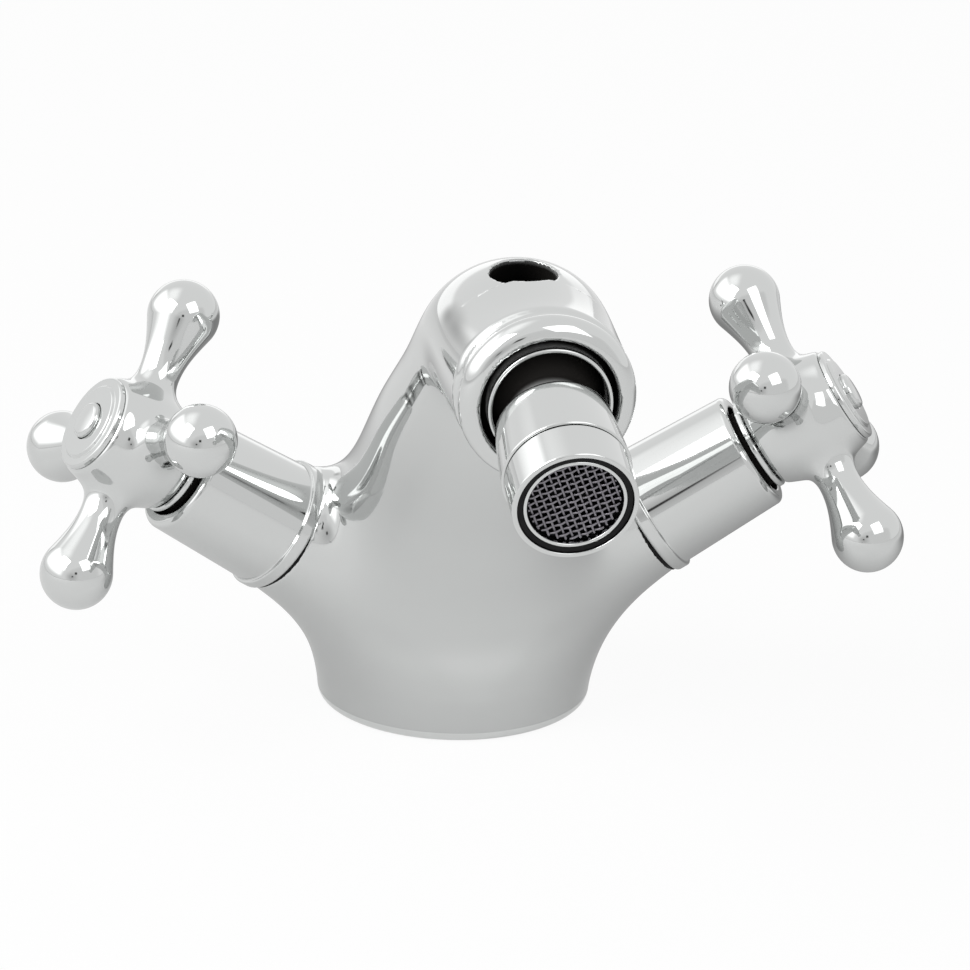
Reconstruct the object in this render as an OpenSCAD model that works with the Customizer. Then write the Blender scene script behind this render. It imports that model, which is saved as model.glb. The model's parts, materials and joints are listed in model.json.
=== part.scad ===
// Bidet mixer tap: cast body, two cross handles on ceramic-disc valves and a nozzle on a ball joint.
// Lengths are in millimetres and angles in degrees. +Z is up, the user is on the -Y side,
// and the origin is the centre of the base's underside.
// Along a handle axis, distances are counted from the point where the two axes meet.

/* [Base] */
// Diameter of the round base
base_d = 51; // [46:0.5:56]
// Height of the straight wall above the underside
base_wall_h = 11; // [8:0.5:14]
// Rounding of the foot's edge
foot_round = 1.2; // [0.4:0.1:2]
// Mean diameter of the gasket under the base
gasket_d = 43.5; // [41:0.5:44]
// Width of the gasket
gasket_w = 2.8; // [2:0.1:3.4]
// Thickness of the gasket
gasket_t = 2; // [1.2:0.1:3]
// Outer diameter of each inlet hose thread
tail_thread_d = 10; // [8:0.5:11]
// Pitch of the inlet hose thread
tail_pitch = 1; // [0.75:0.25:1.5]
// Depth of each inlet hose thread
tail_depth = 11; // [9:0.5:12]
// Distance of each inlet from the plane of symmetry
tail_x = 8.5; // [7.5:0.1:10]
// Place of the inlets, front to back
tail_y = -3; // [-5:0.5:-1]
// Outer diameter of the fixing stud's thread
stud_thread_d = 8; // [6:1:8]
// Pitch of the fixing stud's thread
stud_pitch = 1.25; // [1:0.25:1.25]
// Depth of the fixing stud's hole
stud_depth = 12; // [9:0.5:14]
// Place of the fixing stud, front to back
stud_y = -14.5; // [-15:0.5:-13]

/* [Handle axes] */
// Angle of a handle axis above the horizontal
axis_lift = 33.65; // [30:0.5:38]
// Angle by which a handle axis is swept towards the user
axis_sweep = 10.27; // [6:0.5:14]
// Place where the axes meet, front to back
axis_y = -1.5; // [-3:0.5:0]
// Height where the axes meet
axis_z = 15; // [13:0.5:17]

/* [Branches] */
// Distance of a branch's end face
branch_end = 42.5; // [41:0.5:45]
// Radius of the branch at its end face
branch_end_r = 12.4; // [11.8:0.1:13]
// Radius of the branch where it leaves the body
branch_root_r = 15.2; // [14:0.1:17]
// Distance at which the branch has its root radius
branch_root_at = 25; // [22:0.5:28]
// Distance of the floor of the valve's bore
valve_floor = 20; // [19:0.5:22]
// Radius of the valve's bore
valve_bore_r = 9.6; // [9.2:0.1:9.8]
// Radius of the water chamber round the valve's windows
chamber_r = 11; // [10.5:0.1:11.5]
// Length of the water chamber
chamber_len = 6; // [4:0.5:8]

/* [Neck] */
// How far forward the crest of the neck lies
crest_y = -55.5; // [-60:0.5:-55]
// Height of the neck's centre line at its crest
crest_z = 92; // [90:0.5:93]
// Half width of the neck at its crest
crest_half_w = 17.3; // [16:0.1:18]
// Half depth of the neck at its crest
crest_half_t = 15.4; // [14.5:0.1:16.5]
// Half width of the neck at its waist
waist_half_w = 23.8; // [21:0.1:25]
// Half depth of the neck at its waist
waist_half_t = 18.5; // [16:0.1:21]
// Squareness of the neck's section: 2 is an ellipse
neck_power = 2.05; // [2:0.05:2.6]
// Diameter of the lift rod's hole
rod_d = 7; // [6:0.5:8]
// Width of the hole's mouth on the crest
rod_mouth_w = 12.2; // [10:0.2:12.6]
// Length of the mouth, front to back and square to the rod
rod_mouth_l = 11.2; // [8:0.2:11.8]
// How far the mouth is set forward of the rod's hole
rod_mouth_ahead = 1.1; // [0:0.1:1.4]
// Depth of the wide mouth
rod_mouth_depth = 16; // [8:1:20]
// Place where the rod leaves the base's underside, front to back
rod_exit_y = 14; // [13:0.5:14.5]

/* [Waterways] */
// Diameter of the drilled waterways
water_d = 6.4; // [5:0.2:7]
// Diameter of the feed from each inlet to its valve
feed_d = 5.6; // [5:0.2:6.2]
// Height at which the cross passage meets the riser
cross_z = 30; // [28:0.5:33]
// Place at which the cross passage meets the riser, front to back
cross_y = -19; // [-21:0.5:-17]

/* [Ball joint] */
// Place of the ball's centre, front to back
ball_y = -81; // [-83:0.5:-79]
// Height of the ball's centre
ball_z = 93; // [91:0.5:95]
// Radius of the ball
ball_r = 11.2; // [10.8:0.1:11.3]
// Slope of the socket's axis below the horizontal
socket_tilt = 5; // [0:1:10]
// Slope of the nozzle below the horizontal as photographed
nozzle_tilt = 16; // [8:1:20]
// Distance of the socket's mouth from the ball's centre
mouth_at = 9.5; // [9:0.1:10.5]
// Greatest radius of the collar, a rounded bead round the socket's mouth
collar_r = 16.1; // [15.8:0.1:16.6]
// Radius of the socket's bore
socket_bore_r = 12.5; // [12.2:0.1:12.8]
// Depth of the socket's bore behind the ball's centre
socket_depth = 10.4; // [10:0.1:11.5]
// Outer radius of the retaining ring's bright lip
lip_outer_r = 11.3; // [11.1:0.05:11.6]
// Inner radius of the retaining ring's bright lip
lip_inner_r = 10.5; // [10.4:0.05:10.8]
// How far the lip stands out of the socket's mouth
lip_proud = 0.6; // [0:0.1:0.8]
// Depth of the dark groove round the lip
lip_groove = 3; // [2:0.1:4]

/* [Nozzle] */
// Distance from the ball's centre to the outlet face
nozzle_len = 36.5; // [34:0.5:40]
// Radius of the waist between the ball and the barrel
waist_r = 7.6; // [7:0.1:8.2]
// Distance of the barrel's shoulder from the ball's centre
shoulder_at = 13; // [12.5:0.1:14]
// Radius of the barrel behind its shoulder's rounding
barrel_r = 10.6; // [10:0.1:11]
// Radius of the barrel's front end
barrel_front_r = 11.7; // [11.4:0.1:12]
// Length of the aerator housing that shows in front of the barrel
housing_show = 8.9; // [8:0.1:10]
// Radius of the bore through the ball
ball_bore_r = 5.4; // [4.5:0.1:6]
// Radius of the aerator housing outside
housing_r = 11.3; // [11:0.1:11.5]
// Radius of the housing's thread in the barrel
housing_thread_r = 9.8; // [9.4:0.1:10]
// Radius of the housing's front bore
housing_bore_r = 10.35; // [10.1:0.05:10.4]
// Outer radius of the aerator cup's bright rim
cup_r = 9.25; // [9:0.05:9.3]
// Radius of the mesh screen
mesh_r = 8.45; // [8.2:0.05:8.6]
// Distance between neighbouring holes of the mesh
mesh_pitch = 1.2; // [1.1:0.1:2]
// Width of the bars between the holes
mesh_bar = 0.4; // [0.3:0.05:0.6]
// Turn of the mesh's rows about the outlet's axis
mesh_turn = 21; // [0:1:45]

/* [Valve] */
// Radius of the valve body inside the branch
valve_r = 9.5; // [9:0.1:9.6]
// Radius of the valve body's skirt inside, round the discs
skirt_bore_r = 8.6; // [8.2:0.1:8.8]
// Thickness of each ceramic disc
disc_t = 3; // [2.5:0.1:3.5]
// Thickness of the rubber seal on the valve's floor
seat_seal_t = 2.4; // [2:0.1:3]
// Radius of the disc's water ports
port_r = 2; // [1.5:0.1:2.2]
// Radius of the valve body's flange on the branch
flange_r = 11; // [10.8:0.1:11.1]
// Thickness of the flange
flange_t = 1.5; // [1:0.1:2]
// Width across flats of the valve body's hexagon
hex_af = 19; // [17:0.5:19]
// Length of the hexagon
hex_len = 5; // [4:0.5:6]
// Radius of the valve body's upper thread
neck_thread_r = 7; // [6.5:0.1:7.2]
// Distance of the valve body's top
valve_top = 60.2; // [59:0.1:61]
// Radius of the spindle
spindle_r = 4; // [3.5:0.1:4.2]
// How far the spindle reaches into the hub above the hub's foot
spindle_reach = 9.2; // [8.5:0.1:9.4]

/* [Shroud] */
// Gap between the branch and the shroud's bead
seam_gap = 0.5; // [0.3:0.1:0.8]
// Radius of the shroud's bead
bead_r = 13.1; // [12.8:0.1:13.6]
// Width of the shroud's bead
bead_w = 2.7; // [2:0.1:3.2]
// Radius of the shroud next to the bead
shroud_r = 12.5; // [12:0.1:13]
// Radius of the shroud where its shoulder starts
shroud_top_r = 11.6; // [11:0.1:12]
// Distance of the shroud's outer end
shroud_end = 67.9; // [67:0.1:68.1]
// Length of the shroud's rounded shoulder
shroud_round = 3.2; // [2:0.1:4]
// Radius inside the shroud's lower part
shroud_bore_r = 11.25; // [11.15:0.05:11.4]
// Radius of the open recess at the shroud's outer end
shroud_mouth_r = 9.1; // [8.8:0.1:9.3]
// Distance where the shroud's inner thread starts
web_start = 52; // [50:0.5:53]
// Length of the shroud's inner thread
web_len = 5.5; // [4:0.5:6]

/* [Cross handle] */
// Height of the plane of the four arms above the hub's foot
arms_rise = 9.7; // [9:0.1:10.5]
// Length of an arm from the handle axis to its ball's centre
arm_len = 27; // [24:0.5:30]
// Radius of the ball at the end of an arm
arm_ball_r = 6.9; // [6:0.1:7.5]
// Radius of an arm at its narrowest
arm_neck_r = 4; // [3.4:0.1:4.6]
// Distance of the narrowest place from the handle axis
arm_neck_at = 14.5; // [13.5:0.5:16]
// Rest turn of the left handle's arms
left_turn = 66.9; // [0:0.1:90]
// Rest turn of the right handle's arms
right_turn = 52.6; // [0:0.1:90]
// Greatest radius of the hub
hub_r = 11.4; // [10.8:0.1:12]
// Radius of the hub under the cap disc
hub_top_r = 9.9; // [9.4:0.1:10.4]
// Length of the hub from its foot to its outer face
hub_len = 18; // [17:0.1:19]
// Gap between the shroud's end and the hub's foot, which the collar ring fills in part
hub_gap = 2.1; // [1.8:0.1:2.6]
// Radius of the sleeve that reaches into the shroud
sleeve_r = 7.8; // [7.4:0.1:8]
// How far the sleeve reaches into the shroud
sleeve_reach = 4.5; // [3.9:0.1:5.4]
// Outer radius of the collar ring under the hub
ring_r = 9; // [8.6:0.1:9.4]
// Width of the collar ring
ring_w = 1.2; // [0.8:0.1:1.3]
// Radius of the cap disc
cap_r = 9.4; // [9:0.1:9.6]
// Thickness of the cap disc
cap_t = 1.1; // [0.8:0.1:1.4]
// Radius of the raised step on the cap disc
cap_step_r = 7.2; // [6.8:0.1:7.8]
// Height of the raised step
cap_step_h = 0.5; // [0.3:0.1:0.8]
// Radius of the index button
button_r = 3.6; // [3:0.1:4]
// Height of the index button above the step
button_h = 1.2; // [0.8:0.1:1.6]

/* [Fits] */
// Radial clearance of a shaft that turns in its bore
running = 0.05; // [0.02:0.01:0.08]
// Radial clearance of pieces that are screwed or pushed together
push = 0.1; // [0.05:0.01:0.12]
// Clearance between the ball and its seats
ball_clear = 0.15; // [0.1:0.01:0.2]

/* [Hidden] */
$fn = 96;

LEFT = -1;
RIGHT = 1;
// Cuts run this far past the faces they open
past = 1;
// Depth of a thread's flank for a thread of pitch 1
thread_factor = 1.08;

tail_r = (tail_thread_d - thread_factor * tail_pitch) / 2;
stud_r = (stud_thread_d - thread_factor * stud_pitch) / 2;
base_r = base_d / 2;
water_r = water_d / 2;
feed_r = feed_d / 2;
// The passages meet in pockets a little wider than they are
junction_r = water_r + 0.7;
rod_r = rod_d / 2;

// The ends of a handle's pieces, each set from the shroud under them
hub_foot = shroud_end + hub_gap;
hub_top = hub_foot + hub_len;
arms_at = hub_foot + arms_rise;
sleeve_end = shroud_end - sleeve_reach;
spindle_end = hub_foot + spindle_reach;

// Stations along a valve, from the bore's floor outwards
fixed_at = valve_floor + seat_seal_t;
moving_at = fixed_at + disc_t;
foot_at = moving_at + disc_t;
foot_t = 2.5;
foot_end = foot_at + foot_t;
foot_r = skirt_bore_r - 0.4;
skirt_start = valve_floor + 0.6;
window_w = 9;
window_len = 4.2;
flange_seal_t = 1.5;
flange_seal_r = valve_bore_r + 0.8;
flange_end = branch_end + flange_t;
hex_end = flange_end + hex_len;
hex_corner_r = hex_af / 2 / cos(30);
oring_r = 0.56;
oring_groove_w = 1.4;
oring_places = [foot_end + 5, foot_end + 9];
clip_t = 0.9;
clip_groove_w = 1;
clip_at = valve_top + 0.25;
clip_groove_r = spindle_r - 0.8;
clip_r = spindle_r + 1.6;
drive_sides = 12;

// Stations along a handle
web_t = 3.4;
hub_web = spindle_end + 0.2;
cap_seat = hub_web + web_t;
cap_bore_r = 7;
arm_root_at = 6;
arm_root_r = 6.4;
screw_hole_r = 2.6;
screw_r = 2.4;
screw_head_r = 3.6;
screw_head_h = 3.2;
screw_socket_r = 1.7;
screw_end = spindle_end - 9;
spigot_len = 2.2;
button_seat = hub_top - 1.2;

// The neck's centre line and its half width and half depth: [y, z, half width, half depth]
neck_root_w = 25.3;
collar_back_r = socket_bore_r + 1.3;
neck_end_w = collar_r + 0.1;
neck_stations = [
  [0, 3, base_r - 1, base_r - 1],
  [-0.5, 12, base_r - 0.3, base_r - 0.8],
  [-4.5, 26, neck_root_w, 22.6],
  [-12, 41, 26.2, 20.6],
  [-22.5, 56, waist_half_w, waist_half_t],
  [-34, 69, (waist_half_w + crest_half_w) / 2 + 1.4, (waist_half_t + crest_half_t) / 2],
  [-45.5, 82, crest_half_w + 1.8, crest_half_t + 0.5],
  [crest_y, crest_z, crest_half_w, crest_half_t],
  [(crest_y + ball_y) / 2 - 1.5, ball_z, neck_end_w + 0.6, neck_end_w - 1.2],
  [ball_y - 2.5, ball_z - 0.4, neck_end_w, neck_end_w - 0.6]];
neck_sides = 56;
neck_steps = 4;

// The lift rod runs straight from just under the crest's skin to the underside
rod_top_ahead = 5;
rod_top_under = 0.6;
rod_top = [0, crest_y - rod_top_ahead, crest_z + crest_half_t - rod_top_under];
rod_foot = [0, rod_exit_y, 0];
rod_lean = atan2(rod_foot[1] - rod_top[1], rod_top[2]);
mouth_sides = 40;
riser_bend = [0, -54, 81];
cross_point = [0, cross_y, cross_z];

// Stations of the ball joint and the nozzle
seat_ring_back = socket_depth - 0.1;
seat_ring_front = 6;
seal_minor_r = 0.9;
seal_at = 4.7;
ring_back = -3.4;
ring_seat_end = 4.2;
ball_flat = 8.5;
shoulder_round = 1.6;
barrel_end = nozzle_len - housing_show;
thread_len = 8.1;
thread_back = barrel_end - thread_len;
washer_t = 1.5;
washer_back = thread_back - washer_t;
housing_gap = 0.2;
cup_front_len = 6.5;
cup_rear_len = 6;
cup_seat = nozzle_len - cup_front_len;
cup_back = cup_seat - cup_rear_len;
cup_flange_t = 1.3;
cup_rear_r = 8.5;
cup_rear_bore = 7.6;
rim_recess = 0.4;
mesh_t = 0.8;
mesh_front = nozzle_len - 1.2;
straightener_t = 2.6;
jet_t = 2;
jet_holes = 12;
jet_hole_r = 0.7;

chrome = "gainsboro";
brass = "goldenrod";
rubber = "dimgray";
ceramic = "ivory";
plastic = "lightgray";
dark_plastic = "darkslategray";

// Puts its children on a handle's axis, with +Z outwards along it
module on_axis(side) {
  mirror([side == LEFT ? 1 : 0, 0, 0])
    translate([0, axis_y, axis_z])
      rotate([0, 90 - axis_lift, -axis_sweep]) children();
}

// Puts its children at the ball's centre, with +Z along the socket's axis
module on_socket() {
  translate([0, ball_y, ball_z]) rotate([90 + socket_tilt, 0, 0]) children();
}

// Puts its children at the ball's centre, with +Z along the nozzle
module on_nozzle() {
  translate([0, ball_y, ball_z]) rotate([90 + nozzle_tilt, 0, 0]) children();
}

// A ring of a given bore, radius and thickness, standing on its lower face
module ring(inner, outer, low, thick) {
  translate([0, 0, low]) difference() {
    cylinder(r = outer, h = thick);
    translate([0, 0, -past]) cylinder(r = inner, h = thick + 2 * past);
  }
}

// A round bar of radius r from one point to another
module bar(from, to, r) {
  seam_turn = 40;
  way = to - from;
  len = norm(way);
  tilt = acos(way[2] / len);
  turn = atan2(way[1], way[0]);
  translate(from) rotate([0, tilt, turn]) rotate(seam_turn) cylinder(r = r, h = len);
}

// A quarter circle from one angle to another, as points round a centre
function arc(cx, cy, r, from, to, steps = 8) =
  [for (i = [0:steps]) let (a = from + (to - from) * i / steps) [cx + r * cos(a), cy + r * sin(a)]];

// A cubic curve from p to q with the given slopes, as points [r, s] for s from p[1] to q[1]
function swell(p, q, slope_p, slope_q, steps = 8) = [for (i = [0:steps])
  let (t = i / steps, len = q[1] - p[1],
    r = (2 * t^3 - 3 * t^2 + 1) * p[0] + (t^3 - 2 * t^2 + t) * slope_p * len
      + (-2 * t^3 + 3 * t^2) * q[0] + (t^3 - t^2) * slope_q * len)
  [r, p[1] + t * len]];

// A smooth curve through a list of stations
function pass(p0, p1, p2, p3, t) = 0.5 * (2 * p1 + (p2 - p0) * t
  + (2 * p0 - 5 * p1 + 4 * p2 - p3) * t^2 + (3 * p1 - p0 - 3 * p2 + p3) * t^3);
function station(list, u) = let (last = len(list) - 1, i = min(floor(u), last - 1))
  pass(list[max(i - 1, 0)], list[i], list[i + 1], list[min(i + 2, last)], u - i);
function sign_power(v, e) = sign(v) * abs(v)^e;

// One ring of the neck: a rounded section square to the centre line
function neck_ring(u) = let (
    here = station(neck_stations, u),
    step = 0.02,
    last = len(neck_stations) - 1,
    ahead = station(neck_stations, min(u + step, last)),
    back = station(neck_stations, max(u - step, 0)),
    way = [ahead[0] - back[0], ahead[1] - back[1]] / norm([ahead[0] - back[0], ahead[1] - back[1]]),
    e = 2 / neck_power)
  [for (k = [0:neck_sides - 1]) let (
      a = 360 * k / neck_sides,
      across = here[2] * sign_power(cos(a), e),
      out = here[3] * sign_power(sin(a), e))
    [across, here[0] - way[1] * out, here[1] + way[0] * out]];

module neck_form() {
  count = (len(neck_stations) - 1) * neck_steps;
  rings = [for (i = [0:count]) neck_ring(i / neck_steps)];
  points = [for (r = rings) for (p = r) p];
  n = neck_sides;
  walls = [for (i = [0:count - 1]) for (k = [0:n - 1])
    let (a = i * n + k, b = i * n + (k + 1) % n)
    for (f = [[a, b, b + n], [a, b + n, a + n]]) f];
  floor_face = [[for (k = [0:n - 1]) n - 1 - k]];
  roof_face = [[for (k = [0:n - 1]) count * n + k]];
  polyhedron(points, concat(walls, floor_face, roof_face));
}

// The round base with its rounded foot and a soft edge above its straight wall
module base_form() {
  top_round = 4;
  rotate_extrude() polygon(concat([[0, 0]],
    arc(base_r - foot_round, foot_round, foot_round, -90, 0, 5),
    arc(base_r - top_round, base_wall_h, top_round, 0, 90, 6),
    [[0, base_wall_h + top_round]]));
}

module branch_form() {
  root_start = 6;
  flare_r = branch_root_r + 2;
  flare_at = 15;
  rotate_extrude() polygon(concat([[0, root_start], [flare_r, root_start]],
    swell([flare_r, flare_at], [branch_root_r, branch_root_at], -0.1, -0.22, 4),
    swell([branch_root_r, branch_root_at], [branch_end_r, branch_end - 0.6], -0.22, -0.12, 6),
    [[branch_end_r - 0.5, branch_end], [0, branch_end]]));
}

// The collar: a plug inside the neck, a shallow crease and the bead round the socket's mouth
module collar_form() {
  mouth_land = 0.3;
  bead = collar_r - socket_bore_r - mouth_land;
  back = -socket_depth - 3;
  rotate_extrude() polygon(concat([[0, back], [collar_back_r, back]],
    arc(collar_r - bead, mouth_at - bead, bead, -45, 90, 9), [[0, mouth_at]]));
}

module body_outside() {
  base_form();
  neck_form();
  for (side = [LEFT, RIGHT]) on_axis(side) branch_form();
  on_socket() collar_form();
}

// The bore that takes one valve, with its water chamber and the recess for the flange's seal
module valve_bore() {
  translate([0, 0, valve_floor]) cylinder(r = valve_bore_r, h = branch_end - valve_floor + past);
  translate([0, 0, moving_at - 1]) cylinder(r = chamber_r, h = chamber_len);
  translate([0, 0, branch_end - flange_seal_t - push])
    cylinder(r = flange_seal_r, h = flange_seal_t + push + past);
}

// Points in the body's frame at a distance along a handle's axis
function axis_point(side, h) = [0, axis_y, axis_z] + h * [side * cos(axis_lift) * cos(axis_sweep),
  -cos(axis_lift) * sin(axis_sweep), sin(axis_lift)];

module inlet(side) {
  translate([side * tail_x, tail_y, -past]) cylinder(r = tail_r, h = tail_depth + past);
  bar([side * tail_x, tail_y, tail_depth - 2], axis_point(side, valve_floor + 1), feed_r);
}

module waterways() {
  socket_back = [0, ball_y + socket_depth * cos(socket_tilt), ball_z + socket_depth * sin(socket_tilt)];
  for (side = [LEFT, RIGHT]) {
    inlet(side);
    bar(axis_point(side, moving_at + 2), cross_point, water_r);
  }
  bar(cross_point, riser_bend, water_r);
  for (junction = [cross_point, riser_bend]) translate(junction) sphere(r = junction_r);
  bar(riser_bend, socket_back + [0, -past, 0], water_r);
}

// The lift rod's hole in its own frame, with +Z up along the rod, and its wide mouth
module lift_rod_hole() {
  over = 4;
  len = norm(rod_top - rod_foot);
  translate(rod_top) rotate([rod_lean, 0, 0]) {
    translate([0, 0, -len - over]) cylinder(r = rod_r, h = len + 2 * over);
    translate([0, -rod_mouth_ahead, -rod_mouth_depth]) linear_extrude(rod_mouth_depth + over)
      polygon([for (k = [0:mouth_sides - 1]) let (a = 360 * k / mouth_sides)
        [rod_mouth_w / 2 * cos(a), rod_mouth_l / 2 * sin(a)]]);
  }
}

module body_casting() {
  color(chrome) difference() {
    body_outside();
    for (side = [LEFT, RIGHT]) on_axis(side) valve_bore();
    on_socket() translate([0, 0, -socket_depth])
      cylinder(r = socket_bore_r, h = socket_depth + mouth_at + past);
    waterways();
    lift_rod_hole();
    translate([0, stud_y, -past]) cylinder(r = stud_r, h = stud_depth + past);
    translate([0, 0, -past]) ring((gasket_d - gasket_w) / 2 - push, (gasket_d + gasket_w) / 2 + push,
      0, gasket_t + past);
  }
}

module base_gasket() {
  color(rubber) ring((gasket_d - gasket_w) / 2, (gasket_d + gasket_w) / 2, 0, gasket_t);
}

// The brass body of a valve, screwed into the branch
module valve_body(side) {
  color(brass) on_axis(side) difference() {
    union() {
      translate([0, 0, skirt_start]) cylinder(r = valve_r, h = branch_end - skirt_start);
      translate([0, 0, branch_end]) cylinder(r = flange_r, h = flange_t);
      translate([0, 0, flange_end]) cylinder(r = hex_corner_r, h = hex_len, $fn = 6);
      translate([0, 0, hex_end]) cylinder(r = neck_thread_r, h = valve_top - hex_end);
    }
    translate([0, 0, skirt_start - past]) cylinder(r = skirt_bore_r, h = foot_end + past - skirt_start + 0.1);
    translate([0, 0, foot_end]) cylinder(r = spindle_r + running, h = valve_top - foot_end + past);
    translate([-window_w / 2, -chamber_r, moving_at]) cube([window_w, 2 * chamber_r, window_len]);
  }
}

module seat_seal(side) {
  color(rubber) on_axis(side) difference() {
    translate([0, 0, valve_floor]) cylinder(r = skirt_bore_r - push, h = seat_seal_t);
    translate([0, 0, valve_floor - past]) cylinder(r = feed_r + 0.6, h = seat_seal_t + 2 * past);
  }
}

// A ceramic disc with two round ports on opposite sides
module ported_disc(low, radius) {
  port_at = radius / 2;
  translate([0, 0, low]) difference() {
    cylinder(r = radius, h = disc_t);
    for (a = [0, 180]) rotate(a) translate([port_at, 0, -past])
      cylinder(r = port_r, h = disc_t + 2 * past);
  }
}

module fixed_disc(side) {
  color(ceramic) on_axis(side) ported_disc(fixed_at, skirt_bore_r - push);
}

module moving_disc(side) {
  color(ceramic) on_axis(side) rotate(90) ported_disc(moving_at, foot_r);
}

module flange_seal(side) {
  color(rubber) on_axis(side)
    ring(valve_r + 0.05, flange_seal_r - push, branch_end - flange_seal_t, flange_seal_t);
}

// The chromed shroud: a bead, a slim taper and a rounded shoulder, screwed to the valve body
module shroud(side) {
  base = branch_end + seam_gap;
  bead_top = base + bead_w;
  bead_edge = bead_w / 2;
  shoulder = shroud_end - shroud_round;
  mouth_lip = 0.5;
  recess = web_start + web_len;
  color(chrome) on_axis(side) rotate_extrude() polygon(concat(
    [[shroud_bore_r, base]],
    arc(bead_r - bead_edge, base + bead_edge, bead_edge, -60, 60, 6),
    [[shroud_r, bead_top + 0.3]],
    swell([shroud_top_r, shoulder], [shroud_mouth_r + mouth_lip, shroud_end], -0.04, -1.6, 6),
    [[shroud_mouth_r, shroud_end], [shroud_mouth_r, recess], [neck_thread_r + push, recess],
     [neck_thread_r + push, web_start], [shroud_bore_r, web_start]]));
}

// The spindle: a foot on the moving disc, a shaft in the valve body and a many-sided drive end
module spindle(side) {
  drive_start = shroud_end;
  color(brass) on_axis(side) difference() {
    union() {
      translate([0, 0, foot_at]) cylinder(r = foot_r, h = foot_t);
      translate([0, 0, foot_end - past]) cylinder(r = spindle_r, h = drive_start - foot_end + past);
      translate([0, 0, drive_start]) cylinder(r = spindle_r, h = spindle_end - drive_start,
        $fn = drive_sides);
    }
    for (at = oring_places) ring(spindle_r - 2 * oring_r - push, spindle_r + past,
      at - oring_groove_w / 2, oring_groove_w);
    ring(clip_groove_r, spindle_r + past, clip_at, clip_groove_w);
    translate([0, 0, screw_end - past]) cylinder(r = screw_r + running, h = spindle_end - screw_end + 2 * past);
  }
}

module spindle_orings(side) {
  color(rubber) on_axis(side) for (at = oring_places) translate([0, 0, at])
    rotate_extrude() translate([spindle_r - oring_r, 0]) circle(r = oring_r, $fn = 24);
}

module circlip(side) {
  gap_w = 3;
  color("silver") on_axis(side) difference() {
    ring(clip_groove_r + 0.05, clip_r, clip_at + 0.05, clip_t);
    translate([0, -gap_w / 2, clip_at - past]) cube([clip_r + past, gap_w, clip_t + 2 * past]);
  }
}

// One arm along +X: a neck that leaves the hub and swells into a ball
module arm() {
  joint_a = 20;
  touch = arm_len - arm_ball_r * sin(joint_a);
  touch_r = arm_ball_r * cos(joint_a);
  rotate([0, 90, 0]) rotate_extrude() polygon(concat([[0, arm_root_at]],
    swell([arm_root_r, arm_root_at], [arm_neck_r, arm_neck_at], -0.1, 0, 8),
    swell([arm_neck_r, arm_neck_at], [touch_r, touch], 0.05, tan(joint_a), 8),
    arc(0, arm_len, arm_ball_r, -joint_a, 90, 12)));
}

module hub_form() {
  belly_at = arms_at;
  top_round = 0.8;
  rotate_extrude() polygon(concat(
    [[0, sleeve_end], [sleeve_r, sleeve_end], [sleeve_r, hub_foot], [ring_r - 0.3, hub_foot]],
    swell([ring_r + 0.2, hub_foot + 0.5], [hub_r, belly_at - 2], 0.02, 0.1, 8),
    swell([hub_r, belly_at + 1.5], [hub_top_r, hub_top - top_round], -0.05, -0.1, 6),
    [[hub_top_r - top_round, hub_top], [0, hub_top]]));
}

module cross_handle(side) {
  turn = side == LEFT ? left_turn : right_turn;
  color(chrome) on_axis(side) difference() {
    union() {
      hub_form();
      translate([0, 0, arms_at]) for (k = [0:3]) rotate(turn + 90 * k) arm();
    }
    translate([0, 0, sleeve_end - past])
      cylinder(r = spindle_r + push, h = shroud_end + 0.5 + past - sleeve_end);
    translate([0, 0, shroud_end]) cylinder(r = spindle_r + push, h = hub_web - shroud_end, $fn = drive_sides);
    translate([0, 0, hub_web - past]) cylinder(r = screw_hole_r, h = web_t + 2 * past);
    translate([0, 0, cap_seat]) cylinder(r = cap_bore_r, h = hub_top - cap_seat + past);
  }
}

module collar_ring(side) {
  color(chrome) on_axis(side)
    ring(sleeve_r + running, ring_r, hub_foot - ring_w - 0.2, ring_w);
}

module handle_screw(side) {
  color("silver") on_axis(side) difference() {
    union() {
      translate([0, 0, screw_end]) cylinder(r = screw_r, h = cap_seat - screw_end);
      translate([0, 0, cap_seat]) cylinder(r = screw_head_r, h = screw_head_h - 1);
    }
    translate([0, 0, cap_seat + 0.4]) cylinder(r = screw_socket_r, h = screw_head_h, $fn = 6);
  }
}

// The cap disc: a stepped plate with a spigot that snaps into the hub
module cap_disc(side) {
  spigot_r = cap_bore_r - push;
  spigot_bore = spigot_r - 1.4;
  edge = 0.4;
  color(chrome) on_axis(side) rotate_extrude() polygon([
    [spigot_bore, hub_top - spigot_len], [spigot_r, hub_top - spigot_len], [spigot_r, hub_top],
    [cap_r, hub_top], [cap_r, hub_top + cap_t - edge], [cap_r - edge, hub_top + cap_t],
    [cap_step_r + edge, hub_top + cap_t], [cap_step_r, hub_top + cap_t + cap_step_h],
    [button_r + push, hub_top + cap_t + cap_step_h], [button_r + push, button_seat],
    [button_r - 1, button_seat], [button_r - 1, button_seat - 0.8], [spigot_bore, button_seat - 0.8]]);
}

module index_button(side) {
  top = hub_top + cap_t + cap_step_h + button_h;
  edge = 0.7;
  color(chrome) on_axis(side) rotate_extrude() polygon(concat(
    [[0, button_seat], [button_r, button_seat]],
    arc(button_r - edge, top - 0.2 - edge, edge, 0, 75, 4), [[0, top]]));
}

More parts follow.
